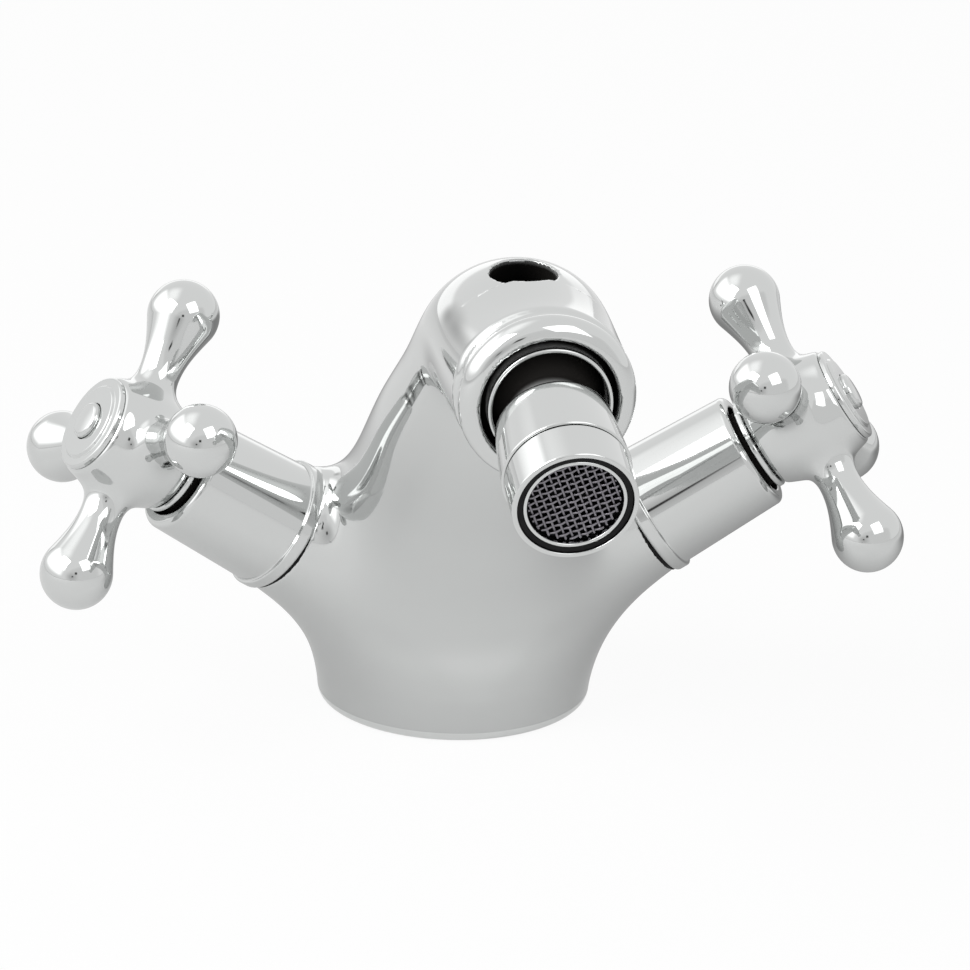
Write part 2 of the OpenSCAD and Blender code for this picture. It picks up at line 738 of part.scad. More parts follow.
// The ring that is screwed into the collar and holds the ball, with its bright lip
module ball_retaining_ring() {
  seat_r = ball_r + ball_clear;
  lip_edge = 0.25;
  front = mouth_at + lip_proud;
  color(chrome) on_socket() rotate_extrude() polygon(concat(
    [[seat_r, ring_back]],
    [for (i = [0:6]) let (z = ring_seat_end * i / 6) [sqrt(seat_r^2 - z^2), z]],
    [[lip_inner_r, ring_seat_end + 0.5], [lip_inner_r, front - lip_edge], [lip_inner_r + lip_edge, front],
     [lip_outer_r - lip_edge, front], [lip_outer_r, front - lip_edge],
     [lip_outer_r, mouth_at - lip_groove], [socket_bore_r - push, mouth_at - lip_groove],
     [socket_bore_r - push, ring_back]]));
}

// The rubber ring that seals the ball in its socket
module ball_seal() {
  ring_mean = socket_bore_r - push - seal_minor_r;
  color(rubber) on_socket() translate([0, 0, -seal_at]) rotate_extrude()
    translate([ring_mean, 0]) circle(r = seal_minor_r, $fn = 32);
}

// The low-friction ring behind the ball, which turns with it
module ball_seat_ring() {
  seat_r = ball_r + ball_clear;
  outer = socket_bore_r - push;
  color(plastic) on_socket() rotate_extrude() polygon(concat(
    [[outer, -seat_ring_back], [outer, -seat_ring_front]],
    [for (i = [0:6]) let (z = seat_ring_front + (ball_flat - 0.3 - seat_ring_front) * i / 6)
      [sqrt(seat_r^2 - z^2), -z]],
    [[sqrt(seat_r^2 - (ball_flat - 0.3)^2), -seat_ring_back]]));
}

// The ball, its waist and the barrel of the nozzle in one piece
module ball_barrel() {
  turn_in = 0.4;
  flat_a = asin(ball_flat / ball_r);
  waist_a = acos(waist_r / ball_r);
  color(chrome) on_nozzle() rotate_extrude() polygon(concat(
    [[ball_bore_r, -ball_flat]],
    arc(0, 0, ball_r, -flat_a, waist_a, 24),
    [[waist_r, shoulder_at]],
    arc(barrel_r - shoulder_round, shoulder_at + shoulder_round, shoulder_round, -90, 0, 6),
    [[barrel_front_r, barrel_end - turn_in], [barrel_front_r - turn_in, barrel_end],
     [housing_thread_r + push, barrel_end], [housing_thread_r + push, washer_back],
     [ball_bore_r, washer_back]]));
}

module aerator_washer() {
  color(rubber) on_nozzle() ring(ball_bore_r + 0.6, housing_thread_r - push, washer_back, washer_t);
}

// The chromed sleeve of the aerator, screwed into the barrel
module aerator_housing() {
  front_edge = 0.5;
  color(chrome) on_nozzle() rotate_extrude() polygon([
    [cup_rear_r + push, thread_back], [housing_thread_r, thread_back],
    [housing_thread_r, barrel_end + housing_gap], [housing_r - 0.2, barrel_end + housing_gap],
    [housing_r, barrel_end + housing_gap + 0.3], [housing_r, nozzle_len - front_edge],
    [housing_r - front_edge / 2, nozzle_len], [housing_bore_r, nozzle_len],
    [housing_bore_r, cup_seat], [cup_rear_r + push, cup_seat]]);
}

// The bright cup that carries the screen and seats on the housing's inner step
module aerator_cup() {
  front = nozzle_len - rim_recess;
  color(chrome) on_nozzle() rotate_extrude() polygon([
    [cup_rear_bore, cup_back], [cup_rear_r, cup_back], [cup_rear_r, cup_seat],
    [housing_bore_r - push, cup_seat], [housing_bore_r - push, cup_seat + cup_flange_t],
    [cup_r, cup_seat + cup_flange_t], [cup_r, front], [mesh_r + push, front],
    [mesh_r + push, cup_seat + cup_flange_t], [cup_rear_bore, cup_seat + cup_flange_t]]);
}

// The perforated disc that splits the flow, resting in the cup
module jet_disc() {
  radius = cup_rear_bore - push;
  hole_ring = radius * 0.68;
  color(dark_plastic) on_nozzle() translate([0, 0, cup_back + 1]) difference() {
    cylinder(r = radius, h = jet_t);
    for (k = [0:jet_holes - 1]) rotate(360 * k / jet_holes) translate([hole_ring, 0, -past])
      cylinder(r = jet_hole_r, h = jet_t + 2 * past);
  }
}

// The grid that straightens the jet, behind the screen
module flow_straightener() {
  low = mesh_front - mesh_t - straightener_t;
  cell_r = 1.35;
  cell_ring = [[0, 1], [3.4, 6], [6.4, 12]];
  color(dark_plastic) on_nozzle() translate([0, 0, low]) difference() {
    cylinder(r = mesh_r, h = straightener_t);
    for (row = cell_ring) for (k = [0:row[1] - 1]) rotate(360 * k / row[1])
      translate([row[0], 0, -past]) cylinder(r = cell_r, h = straightener_t + 2 * past, $fn = 6);
  }
}

module mesh_screen() {
  half = floor((mesh_r - 0.8) / mesh_pitch);
  hole = mesh_pitch - mesh_bar;
  color("darkgray") on_nozzle() translate([0, 0, mesh_front - mesh_t]) rotate(mesh_turn)
    linear_extrude(mesh_t) difference() {
      circle(r = mesh_r);
      for (i = [-half:half]) for (j = [-half:half])
        if (norm([i, j]) * mesh_pitch + hole < mesh_r - 0.2)
          translate([i * mesh_pitch, j * mesh_pitch]) square(hole, center = true);
    }
}

// The black ring between the housing's rim and the cup
module outlet_seal() {
  low = cup_seat + cup_flange_t;
  color("black") on_nozzle()
    ring(cup_r + 0.02, housing_bore_r - 0.02, low, nozzle_len - rim_recess - low);
}

body_casting();
base_gasket();
valve_body(LEFT);  // left_valve_body
seat_seal(LEFT);  // left_seat_seal
fixed_disc(LEFT);  // left_fixed_disc
flange_seal(LEFT);  // left_flange_seal
shroud(LEFT);  // left_shroud
valve_body(RIGHT);  // right_valve_body
seat_seal(RIGHT);  // right_seat_seal
fixed_disc(RIGHT);  // right_fixed_disc
flange_seal(RIGHT);  // right_flange_seal
shroud(RIGHT);  // right_shroud
spindle(LEFT);  // left_spindle
moving_disc(LEFT);  // left_moving_disc
spindle_orings(LEFT);  // left_spindle_orings
circlip(LEFT);  // left_circlip
cross_handle(LEFT);  // left_cross_handle
collar_ring(LEFT);  // left_collar_ring
handle_screw(LEFT);  // left_handle_screw
cap_disc(LEFT);  // left_cap_disc
index_button(LEFT);  // left_index_button
spindle(RIGHT);  // right_spindle
moving_disc(RIGHT);  // right_moving_disc
spindle_orings(RIGHT);  // right_spindle_orings
circlip(RIGHT);  // right_circlip
cross_handle(RIGHT);  // right_cross_handle
collar_ring(RIGHT);  // right_collar_ring
handle_screw(RIGHT);  // right_handle_screw
cap_disc(RIGHT);  // right_cap_disc
index_button(RIGHT);  // right_index_button
ball_retaining_ring();
ball_seal();
ball_seat_ring();
ball_barrel();
aerator_washer();
aerator_housing();
aerator_cup();
jet_disc();
flow_straightener();
mesh_screen();
outlet_seal();
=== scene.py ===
"""The looks of a bidet mixer tap: polished casting, cross handles, shrouds and a ball-jointed nozzle."""

import json

import bpy
import numpy as np
from bpy.props import FloatProperty, FloatVectorProperty, IntProperty, PointerProperty
from bpy.types import Operator, Panel, PropertyGroup
from mathutils import Matrix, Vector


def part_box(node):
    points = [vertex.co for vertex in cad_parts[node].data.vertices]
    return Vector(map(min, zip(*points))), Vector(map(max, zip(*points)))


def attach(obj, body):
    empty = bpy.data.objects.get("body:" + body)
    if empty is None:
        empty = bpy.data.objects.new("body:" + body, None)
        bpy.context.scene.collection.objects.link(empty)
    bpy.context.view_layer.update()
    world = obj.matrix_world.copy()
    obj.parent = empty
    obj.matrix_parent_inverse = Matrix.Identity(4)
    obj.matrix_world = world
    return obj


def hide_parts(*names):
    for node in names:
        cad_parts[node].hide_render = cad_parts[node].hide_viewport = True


bl_info = {
    "name": "Bidet Mixer Tap",
    "version": (1, 0, 0),
    "blender": (4, 5, 0),
    "location": "3D View > Sidebar > Tap",
    "description": "Makes the polished casting, handles and nozzle of a bidet mixer tap",
    "category": "Add Mesh",
}

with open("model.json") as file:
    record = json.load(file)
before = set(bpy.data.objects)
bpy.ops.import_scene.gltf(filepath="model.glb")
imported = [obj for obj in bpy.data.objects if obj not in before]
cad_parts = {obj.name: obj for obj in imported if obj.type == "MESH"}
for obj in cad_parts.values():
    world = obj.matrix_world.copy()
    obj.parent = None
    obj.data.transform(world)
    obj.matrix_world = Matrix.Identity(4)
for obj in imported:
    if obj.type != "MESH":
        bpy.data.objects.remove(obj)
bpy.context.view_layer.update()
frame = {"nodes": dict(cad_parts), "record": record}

LEFT, RIGHT = -1, 1
SIDES = ((LEFT, "left"), (RIGHT, "right"))
# The middle of the tap, at which cards and lamps are aimed
MIDDLE = np.array([0, -0.03, 0.05])


def coordinate(name, default, **limits):
    return FloatProperty(name=name, default=default, unit="LENGTH", precision=5, **limits)


def length(name, default):
    return coordinate(name, default, min=0.0)


def angle(name, degrees):
    return FloatProperty(name=name, default=np.radians(degrees), subtype="ANGLE")


def colour(name, default):
    return FloatVectorProperty(name=name, default=default, subtype="COLOR", size=3, min=0.0, max=1.0)


class TapCastingSizes(PropertyGroup):
    """Sizes of the cast body."""

    base_r: length("Radius of the round base", 0.0255)
    base_top: length("Height at which the base's wall ends", 0.015)
    foot_round: length("Rounding of the foot's edge", 0.0012)
    root_fillet: length("Fillet between the base, the branches and the neck", 0.009)
    axis_lift: angle("Angle of a handle's axis above the horizontal", 33.65)
    axis_sweep: angle("Angle by which a handle's axis leans to the user", 10.27)
    axis_y: coordinate("Where the axes meet, front to back", -0.0015)
    axis_z: length("Height where the axes meet", 0.015)
    branch_end: length("Distance of a branch's end face along its axis", 0.0425)
    valve_floor: length("Distance of the floor of a valve's bore", 0.020)
    valve_bore_r: length("Radius of a valve's bore", 0.0096)
    rod_r: length("Radius of the lift rod's hole", 0.0035)
    rod_mouth_w: length("Width of the rod hole's mouth", 0.0122)
    rod_mouth_l: length("Length of the mouth, front to back and square to the rod", 0.0112)
    rod_mouth_ahead: length("How far the mouth is set forward of the rod's hole", 0.0011)
    rod_mouth_depth: length("Depth of the mouth", 0.016)
    # Painted shade: past this depth inside the skin, the bores take the dark, matte colour that stands in for
    # their shade
    painted_shade_depth: length("Depth to which the plating reaches into the bores", 0.0012)
    socket_tilt: angle("Slope of the socket's axis below the horizontal", 5.0)
    socket_r: length("Radius of the ball's socket", 0.0125)
    socket_depth: length("Depth of the socket behind the ball's centre", 0.0104)
    mouth_at: length("Distance of the socket's mouth from the ball's centre", 0.0095)
    collar_r: length("Greatest radius of the bead round the socket", 0.0161)
    collar_bead: length("Radius of the bead's rounding", 0.0033)
    collar_crease: length("Fillet between the bead and the neck", 0.0006)
    grain: length("Distance between the mesh's points on the casting", 0.00064)


class TapHandleSizes(PropertyGroup):
    """Sizes of the cross handles and of what is under them."""

    arms_at: length("Distance of the plane of the arms along the axis", 0.0797)
    arm_len: length("Distance of a ball's centre from the axis", 0.027)
    ball_r: length("Radius of the ball at the end of an arm", 0.0069)
    arm_neck_r: length("Radius of an arm at its narrowest", 0.0040)
    arm_neck_at: length("Distance of the narrowest place from the axis", 0.0145)
    left_turn: angle("Rest turn of the left handle's arms", 66.9)
    right_turn: angle("Rest turn of the right handle's arms", 52.6)
    hub_r: length("Greatest radius of the hub", 0.0114)
    hub_top_r: length("Radius of the hub under the cap disc", 0.0099)
    hub_top: length("Distance of the hub's outer face", 0.088)
    hub_foot: length("Distance of the hub's inner end", 0.070)
    sleeve_r: length("Radius of the sleeve that reaches into the shroud", 0.0078)
    sleeve_end: length("Distance of the sleeve's inner end", 0.0634)
    cap_r: length("Radius of the cap disc", 0.0094)
    shroud_base: length("Distance of the shroud's inner end", 0.043)
    shroud_end: length("Distance of the shroud's outer end", 0.0679)
    grain: length("Distance between the mesh's points on a handle", 0.00045)


class TapNozzleSizes(PropertyGroup):
    """Sizes of the nozzle and its ball joint."""

    ball_y: coordinate("Place of the ball's centre, front to back", -0.081)
    ball_z: length("Height of the ball's centre", 0.093)
    ball_r: length("Radius of the ball", 0.0112)
    tilt: angle("Slope of the nozzle below the horizontal", 16.0)
    reach: length("Distance of the outlet from the ball's centre", 0.0365)
    mesh_r: length("Radius of the mesh screen", 0.00845)
    wires: IntProperty(name="Wires across the screen each way", default=13, min=8, max=30)
    wire_r: length("Radius of a wire", 0.00023)
    wires_turn: angle("Turn of the wires about the outlet's axis", 21.4)


class TapFinishes(PropertyGroup):
    """Colours and glosses."""

    chrome: colour("Colour of the plating", (0.61, 0.62, 0.615))
    chrome_roughness: FloatProperty(name="Roughness of the plating", default=0.055, min=0.0, max=1.0)
    # Painted shade: this near-black colour stands in for the shade in the bores, in the gaps and round the
    # hidden ball
    bore: colour("Colour of the unplated bores", (0.012, 0.011, 0.010))
    brass: colour("Colour of the valve bodies", (0.72, 0.52, 0.24))
    steel: colour("Colour of screws, clips and wires", (0.60, 0.60, 0.61))
    wire: colour("Colour of the screen's wires", (0.23, 0.22, 0.24))
    rubber: colour("Colour of the seals", (0.006, 0.006, 0.0065))
    ceramic: colour("Colour of the valve discs", (0.86, 0.85, 0.80))
    plastic: colour("Colour of the pale inner parts", (0.62, 0.63, 0.64))
    dark_plastic: colour("Colour of the aerator's inner parts", (0.006, 0.006, 0.007))


class TapStage(PropertyGroup):
    """The camera, the floor and the cards that the plating reflects."""

    azimuth: angle("Direction of the camera round the tap", -10.56)
    elevation: angle("Height of the camera above the horizon", 20.81)
    roll: angle("Turn of the camera about its view", 1.47)
    distance: length("Distance of the camera", 1.2)
    lens: FloatProperty(name="Focal length in millimetres", default=230.2)
    aim_x: coordinate("The aim's place across", 0.00545)
    aim_z: coordinate("The aim's height", 0.04276)


class TapSettings(PropertyGroup):
    """All sizes, colours and the stage."""

    casting: PointerProperty(type=TapCastingSizes)
    handle: PointerProperty(type=TapHandleSizes)
    nozzle: PointerProperty(type=TapNozzleSizes)
    finish: PointerProperty(type=TapFinishes)
    stage: PointerProperty(type=TapStage)


# Frames: an origin and three unit columns, with the third column along the axis

def unit(v):
    return v / np.linalg.norm(v)


def spun(turn):
    """The matrix that turns about the third axis."""
    return np.array([[np.cos(turn), -np.sin(turn), 0], [np.sin(turn), np.cos(turn), 0], [0, 0, 1]])


def direction(azimuth, elevation):
    """From the tap to a place seen at these angles: azimuth 0 to the user, + to the right."""
    return np.array([np.sin(azimuth) * np.cos(elevation), -np.cos(azimuth) * np.cos(elevation),
                     np.sin(elevation)])


def handle_frame(side):
    """The frame of a handle's axis, mirrored for the left: lift from the horizontal, then sweep to the user."""
    c = bpy.context.scene.tap.casting
    lift = np.pi / 2 - c.axis_lift
    tip = np.array([[np.cos(lift), 0, np.sin(lift)], [0, 1, 0], [-np.sin(lift), 0, np.cos(lift)]])
    mirror = np.diag([side, 1.0, 1.0])
    return np.array([0.0, c.axis_y, c.axis_z]), mirror @ spun(-c.axis_sweep) @ tip


def ball_frame(tilt):
    """The frame at the ball's centre whose third column points to the user, tilted down."""
    n = bpy.context.scene.tap.nozzle
    forward = np.array([0, -np.cos(tilt), -np.sin(tilt)])
    across = np.array([1.0, 0, 0])
    return np.array([0.0, n.ball_y, n.ball_z]), np.column_stack([across, np.cross(forward, across), forward])


def along(frame_of, x, y, z):
    """The coordinates of points in a frame: the columns' dot products with the offset from its origin."""
    origin, columns = frame_of
    dx, dy, dz = x - origin[0], y - origin[1], z - origin[2]
    return [columns[0, k] * dx + columns[1, k] * dy + columns[2, k] * dz for k in range(3)]


# Fields: negative inside a solid, about the distance in metres to its surface

def smooth_min(a, b, fillet):
    """min(a, b) - reach * h^3 / 6 with h = max(1 - |a - b| / reach, 0): a fillet of about the given
    radius."""
    reach = 1.76 * fillet
    h = np.maximum(1.0 - np.abs(a - b) / reach, 0.0)
    return np.minimum(a, b) - reach * h**3 / 6.0


def smooth_max(a, b, rounding):
    """The same for the common part of two solids, which rounds the edge between them."""
    return -smooth_min(-a, -b, rounding)


def oval(u, v, wide, deep):
    """About the distance to an ellipse: k (k - 1) / g, with k^2 = (u/a)^2 + (v/b)^2 and
    g^2 = (u/a^2)^2 + (v/b^2)^2."""
    k = np.sqrt((u / wide) ** 2 + (v / deep) ** 2)
    g = np.sqrt((u / wide**2) ** 2 + (v / deep**2) ** 2)
    return k * (k - 1) / np.maximum(g, 1e-6)


def curve_through(places, values):
    """A cubic curve with continuous curvature through values at places, as value(t) and slope(t)."""
    places, values = np.asarray(places, float), np.asarray(values, float)
    h = np.diff(places)
    count = len(places)
    system = np.eye(count)
    right = np.zeros((count,) + values.shape[1:])
    inner = np.arange(1, count - 1)
    system[inner, inner - 1] = h[:-1]
    system[inner, inner] = 2 * (h[:-1] + h[1:])
    system[inner, inner + 1] = h[1:]
    rise = np.diff(values, axis=0) / h.reshape((-1,) + (1,) * (values.ndim - 1))
    right[inner] = 6 * np.diff(rise, axis=0)
    bend = np.linalg.solve(system, right)

    def spans(t):
        i = np.clip(np.searchsorted(places, t, side="right") - 1, 0, count - 2)
        wide = (Ellipsis,) + (None,) * (values.ndim - 1)
        return i, ((t - places[i]) / h[i])[wide], h[i][wide]

    def value(t):
        i, u, w = spans(t)
        v = 1 - u
        return (v * values[i] + u * values[i + 1]
                + w**2 / 6 * ((v**3 - v) * bend[i] + (u**3 - u) * bend[i + 1]))

    def slope(t):
        i, u, w = spans(t)
        v = 1 - u
        return ((values[i + 1] - values[i]) / w
                + w / 6 * ((1 - 3 * v**2) * bend[i] + (3 * u**2 - 1) * bend[i + 1]))

    return value, slope


def rod_field(frame_of, x, y, z, radius, low, high, edge=0.0004):
    """A straight rod about a frame's third column, between two heights."""
    u, v, s = along(frame_of, x, y, z)
    side = np.sqrt(u**2 + v**2) - radius
    return smooth_max(side, np.maximum(s - high, low - s), edge)


def straight_frame(start, end):
    """The frame at a point whose third column points to another point in the same upright plane."""
    way = unit(end - start)
    across = np.array([1.0, 0, 0])
    return start, np.column_stack([across, np.cross(way, across), way])


def neck_stations(c, n):
    """Places on the neck's centre line: front to back, height, half width and half depth."""
    root = c.base_r
    return np.array([
        [0.0, 0.003, root - 0.001, root - 0.001],
        [-0.0005, 0.012, root - 0.0003, root - 0.0008],
        [-0.0045, 0.026, 0.0253, 0.0226],
        [-0.0120, 0.041, 0.0262, 0.0206],
        [-0.0225, 0.056, 0.0238, 0.0185],
        [-0.0340, 0.069, 0.0220, 0.01695],
        [-0.0455, 0.082, 0.0191, 0.0159],
        [-0.0555, 0.092, 0.0173, 0.0154],
        [(-0.0555 + n.ball_y) / 2 - 0.0015, n.ball_z, c.collar_r + 0.0007, c.collar_r - 0.0011],
        [n.ball_y - 0.0025, n.ball_z - 0.0004, c.collar_r + 0.0001, c.collar_r - 0.0005]])


class NeckForm:
    """The neck as a field: an ellipse square to a curved centre line in the plane of symmetry."""

    def __init__(self, c, n):
        stations = neck_stations(c, n)
        steps = np.linalg.norm(np.diff(stations[:, :2], axis=0), axis=1)
        self.places = np.concatenate([[0.0], np.cumsum(steps)])
        self.value, self.slope = curve_through(self.places, stations)

    def nearest(self, y, z):
        """The place on the centre line that is nearest to (y, z): the best of many, then Newton's steps."""
        shape = np.broadcast(y, z).shape
        point = np.stack([np.broadcast_to(y, shape).ravel(), np.broadcast_to(z, shape).ravel()], axis=1)
        tries = np.linspace(0, self.places[-1], 72)
        spots = self.value(tries)[:, :2]
        best = np.empty(len(point))
        for part in np.array_split(np.arange(len(point)), max(len(point) // 40000, 1)):
            gap = ((point[part, None, :] - spots[None]) ** 2).sum(-1)
            best[part] = tries[gap.argmin(1)]
        step = 1e-5
        for _ in range(4):
            def pull(t):
                return ((self.value(t)[:, :2] - point) * self.slope(t)[:, :2]).sum(-1)
            change = (pull(best + step) - pull(best - step)) / (2 * step)
            best = np.clip(best - pull(best) / np.maximum(change, 0.2), 0, self.places[-1])
        return best.reshape(shape)

    def field(self, x, y, z):
        t = self.nearest(y, z)
        here, way = self.value(t), self.slope(t)
        wide, deep = here[..., 2], here[..., 3]
        norm = np.hypot(way[..., 0], way[..., 1])
        out = ((y - here[..., 0]) * way[..., 1] - (z - here[..., 1]) * way[..., 0]) / norm
        side = oval(x, out, wide, deep)
        tip, lead = self.value(self.places[-1:])[0], self.slope(self.places[-1:])[0]
        lead = lead[:2] / np.hypot(*lead[:2])
        front = (y - tip[0]) * lead[0] + (z - tip[1]) * lead[1]
        return smooth_max(smooth_max(side, front, 0.0011), 0.003 - z + 0 * x, 0.001)


def casting_fields(c, n):
    """Two fields: the casting's outside (base, branches, neck and collar joined by fillets), and the same
    less its bores."""
    neck = NeckForm(c, n)
    branch_r, _ = curve_through([0.006, 0.015, 0.025, 0.034, c.branch_end],
                                [0.0176, 0.0171, 0.0152, 0.01345, 0.01235])
    plug_r, plug_back = 0.0148, -0.0134
    inlet_x, inlet_y, inlet_r, inlet_deep = 0.0085, -0.003, 0.00446, 0.011
    stud_y, stud_r, stud_deep = -0.0145, 0.003325, 0.012
    past = 0.02
    socket = ball_frame(c.socket_tilt)
    rod_top = np.array([0, -0.0605, 0.1068])
    rod_foot = np.array([0, 0.014, 0.0])
    rod = straight_frame(rod_top, rod_foot)
    rod_len = np.linalg.norm(rod_top - rod_foot)
    gasket_r, gasket_w, gasket_deep = 0.02175, 0.003, 0.002
    foot, branch_root = 0.004, 0.006

    def outside(x, y, z):
        plan = np.hypot(x, y)
        solid = smooth_max(plan - c.base_r, z - c.base_top, foot)
        solid = smooth_min(solid, neck.field(x, y, z), foot)
        for side, _ in SIDES:
            u, v, s = along(handle_frame(side), x, y, z)
            arm = np.sqrt(u**2 + v**2) - branch_r(np.clip(s, branch_root, c.branch_end))
            arm = smooth_max(arm, s - c.branch_end, 0.0005)
            arm = smooth_max(arm, branch_root - s, 0.003)
            solid = smooth_min(solid, arm, c.root_fillet)
        u, v, s = along(socket, x, y, z)
        around = np.sqrt(u**2 + v**2)
        out = np.maximum(around - c.collar_r + c.collar_bead, 0)
        bead = np.hypot(out, s - c.mouth_at + c.collar_bead) - c.collar_bead
        plug = np.maximum(around - plug_r, np.maximum(s - c.mouth_at + c.collar_bead, plug_back - s))
        solid = smooth_min(solid, smooth_min(bead, plug, c.collar_crease), c.collar_crease)
        return smooth_max(solid, -z, c.foot_round)

    def hollow(x, y, z):
        bores = rod_field(socket, x, y, z, c.socket_r, -c.socket_depth, 0.03)
        u, v, s = along(rod, x, y, z)
        mouth = oval(u, v - c.rod_mouth_ahead, c.rod_mouth_w / 2, c.rod_mouth_l / 2)
        mouth = smooth_max(mouth, s - c.rod_mouth_depth, 0.0008)
        rod_hole = rod_field(rod, x, y, z, c.rod_r, -past, rod_len + past)
        bores = np.minimum(bores, smooth_min(mouth, rod_hole, 0.0005))
        for side, _ in SIDES:
            valve = rod_field(handle_frame(side), x, y, z, c.valve_bore_r, c.valve_floor, c.branch_end + past)
            inlet = (np.array([side * inlet_x, inlet_y, 0]), np.eye(3))
            bores = np.minimum(bores, np.minimum(valve, rod_field(inlet, x, y, z, inlet_r, -past, inlet_deep)))
        stud = (np.array([0, stud_y, 0]), np.eye(3))
        bores = np.minimum(bores, rod_field(stud, x, y, z, stud_r, -past, stud_deep))
        groove = smooth_max(np.abs(np.hypot(x, y) - gasket_r) - gasket_w / 2, z - gasket_deep, 0.0003)
        return np.minimum(bores, groove)

    return outside, lambda x, y, z: smooth_max(outside(x, y, z), -hollow(x, y, z), 0.00055)


def handle_field(h):
    """A cross handle in its axis's frame: a turned hub, four arms with balls, and the bores for the spindle,
    the screw and the cap."""
    socket_r, socket_top, screw_r, cap_bore_r, cap_floor = 0.0041, 0.0794, 0.0026, 0.007, 0.0828
    hub_places = [h.hub_foot, 0.0718, 0.0745, 0.0775, 0.0812, 0.0845, h.hub_top]
    hub_radii = [0.0089, 0.0097, 0.0106, h.hub_r - 0.0001, h.hub_r, h.hub_r - 0.0006, h.hub_top_r]
    hub_r, _ = curve_through(hub_places, hub_radii)
    joint = np.radians(20)
    touch = h.arm_len - h.ball_r * np.sin(joint)
    touch_r = h.ball_r * np.cos(joint)
    arm_r, _ = curve_through([0.004, 0.0085, h.arm_neck_at, 0.0198, touch],
                             [0.0070, 0.0052, h.arm_neck_r, 0.00478, touch_r])

    def arm(run, across, s):
        tube = np.hypot(across, s - h.arms_at) - arm_r(np.clip(run, 0.004, touch))
        ball = np.sqrt((run - h.arm_len) ** 2 + across**2 + (s - h.arms_at) ** 2) - h.ball_r
        past = run - touch - (np.hypot(across, s - h.arms_at) - touch_r) * np.tan(joint)
        return np.where(past > 0, ball, tube)

    def field(x, y, s):
        radial = np.hypot(x, y)
        hub = radial - hub_r(np.clip(s, h.hub_foot, h.hub_top))
        hub = smooth_max(hub, np.maximum(s - h.hub_top, h.hub_foot - s), 0.0007)
        arms = smooth_min(arm(np.abs(x), y, s), arm(np.abs(y), x, s), 0.001)
        solid = smooth_min(hub, arms, 0.0022)
        sleeve = smooth_max(radial - h.sleeve_r, np.maximum(h.sleeve_end - s, s - 0.075), 0.0005)
        solid = np.minimum(solid, sleeve)
        bore = np.minimum(np.maximum(radial - socket_r, s - socket_top), radial - screw_r)
        bore = np.minimum(bore, np.maximum(radial - cap_bore_r, cap_floor - s))
        return smooth_max(solid, -bore, 0.0004)

    return field


# Meshes

def skin(field, low, high, step):
    """The surface where a field is zero: one point per grid cell that it crosses, at the mean of the
    crossings, one quad per crossed grid edge, then points slid to even spacing and set back on the surface by
    Newton's steps."""
    axes = [np.arange(a, b + step, step) for a, b in zip(low, high)]
    value = field(axes[0][:, None, None], axes[1][None, :, None], axes[2][None, None, :]).astype(np.float32)
    inside = value < 0
    size = np.array(value.shape)
    stride = np.array([size[1] * size[2], size[2], 1])
    cells, spots, quads = [], [], []
    for a in range(3):
        b, c = (a + 1) % 3, (a + 2) % 3
        first = tuple(slice(None, -1) if k == a else slice(1, -1) for k in range(3))
        second = tuple(slice(1, None) if k == a else slice(1, -1) for k in range(3))
        at = np.argwhere(inside[first] != inside[second])
        at += np.array([0 if k == a else 1 for k in range(3)])
        beyond = at + np.eye(3, dtype=int)[a]
        v0, v1 = value[tuple(at.T)], value[tuple(beyond.T)]
        spot = np.stack([axes[k][at[:, k]] for k in range(3)], axis=1)
        spot[:, a] += step * v0 / (v0 - v1)
        own = at @ stride
        ring = np.stack([own, own - stride[b], own - stride[b] - stride[c], own - stride[c]], axis=1)
        cells.append(ring)
        spots.append(spot)
        quads.append(np.where((v0 < 0)[:, None], ring, ring[:, ::-1]))
    rings = np.concatenate(cells)
    names, index = np.unique(rings.ravel(), return_inverse=True)
    index = index.reshape(-1)
    weight = np.bincount(index)
    repeated = np.repeat(np.concatenate(spots), 4, axis=0)
    verts = np.stack([np.bincount(index, repeated[:, k]) / weight for k in range(3)], axis=1)
    faces = np.searchsorted(names, np.concatenate(quads))
    for _ in range(4):
        verts = settle(field, slide(field, verts, faces))
    return verts, faces, gradient(field, verts)[0]


def gradient(field, verts):
    """The field's unit gradient by central differences, and its length."""
    tiny = 2e-5
    shift = tiny * np.eye(3)
    grad = np.stack([field(*(verts + shift[k]).T) - field(*(verts - shift[k]).T) for k in range(3)], axis=1)
    grad /= 2 * tiny
    size = np.linalg.norm(grad, axis=1, keepdims=True)
    return grad / np.maximum(size, 1e-9), size


def settle(field, verts):
    """Newton's step to the surface: the point less value over slope, along the gradient."""
    for _ in range(2):
        way, size = gradient(field, verts)
        move = field(*verts.T)[:, None] / np.maximum(size, 0.3)
        verts = verts - np.clip(move, -0.0004, 0.0004) * way
    return verts


def slide(field, verts, faces):
    """Each point moves half way to the mean of its neighbours, along the surface only."""
    starts = faces.ravel()
    ends = np.roll(faces, -1, axis=1).ravel()
    count = np.bincount(starts, minlength=len(verts)) + np.bincount(ends, minlength=len(verts))
    total = [np.bincount(starts, verts[ends, k], len(verts)) + np.bincount(ends, verts[starts, k], len(verts))
             for k in range(3)]
    mean = np.stack(total, axis=1) / count[:, None]
    way, _ = gradient(field, verts)
    move = 0.5 * (mean - verts)
    return verts + move - (move * way).sum(1, keepdims=True) * way


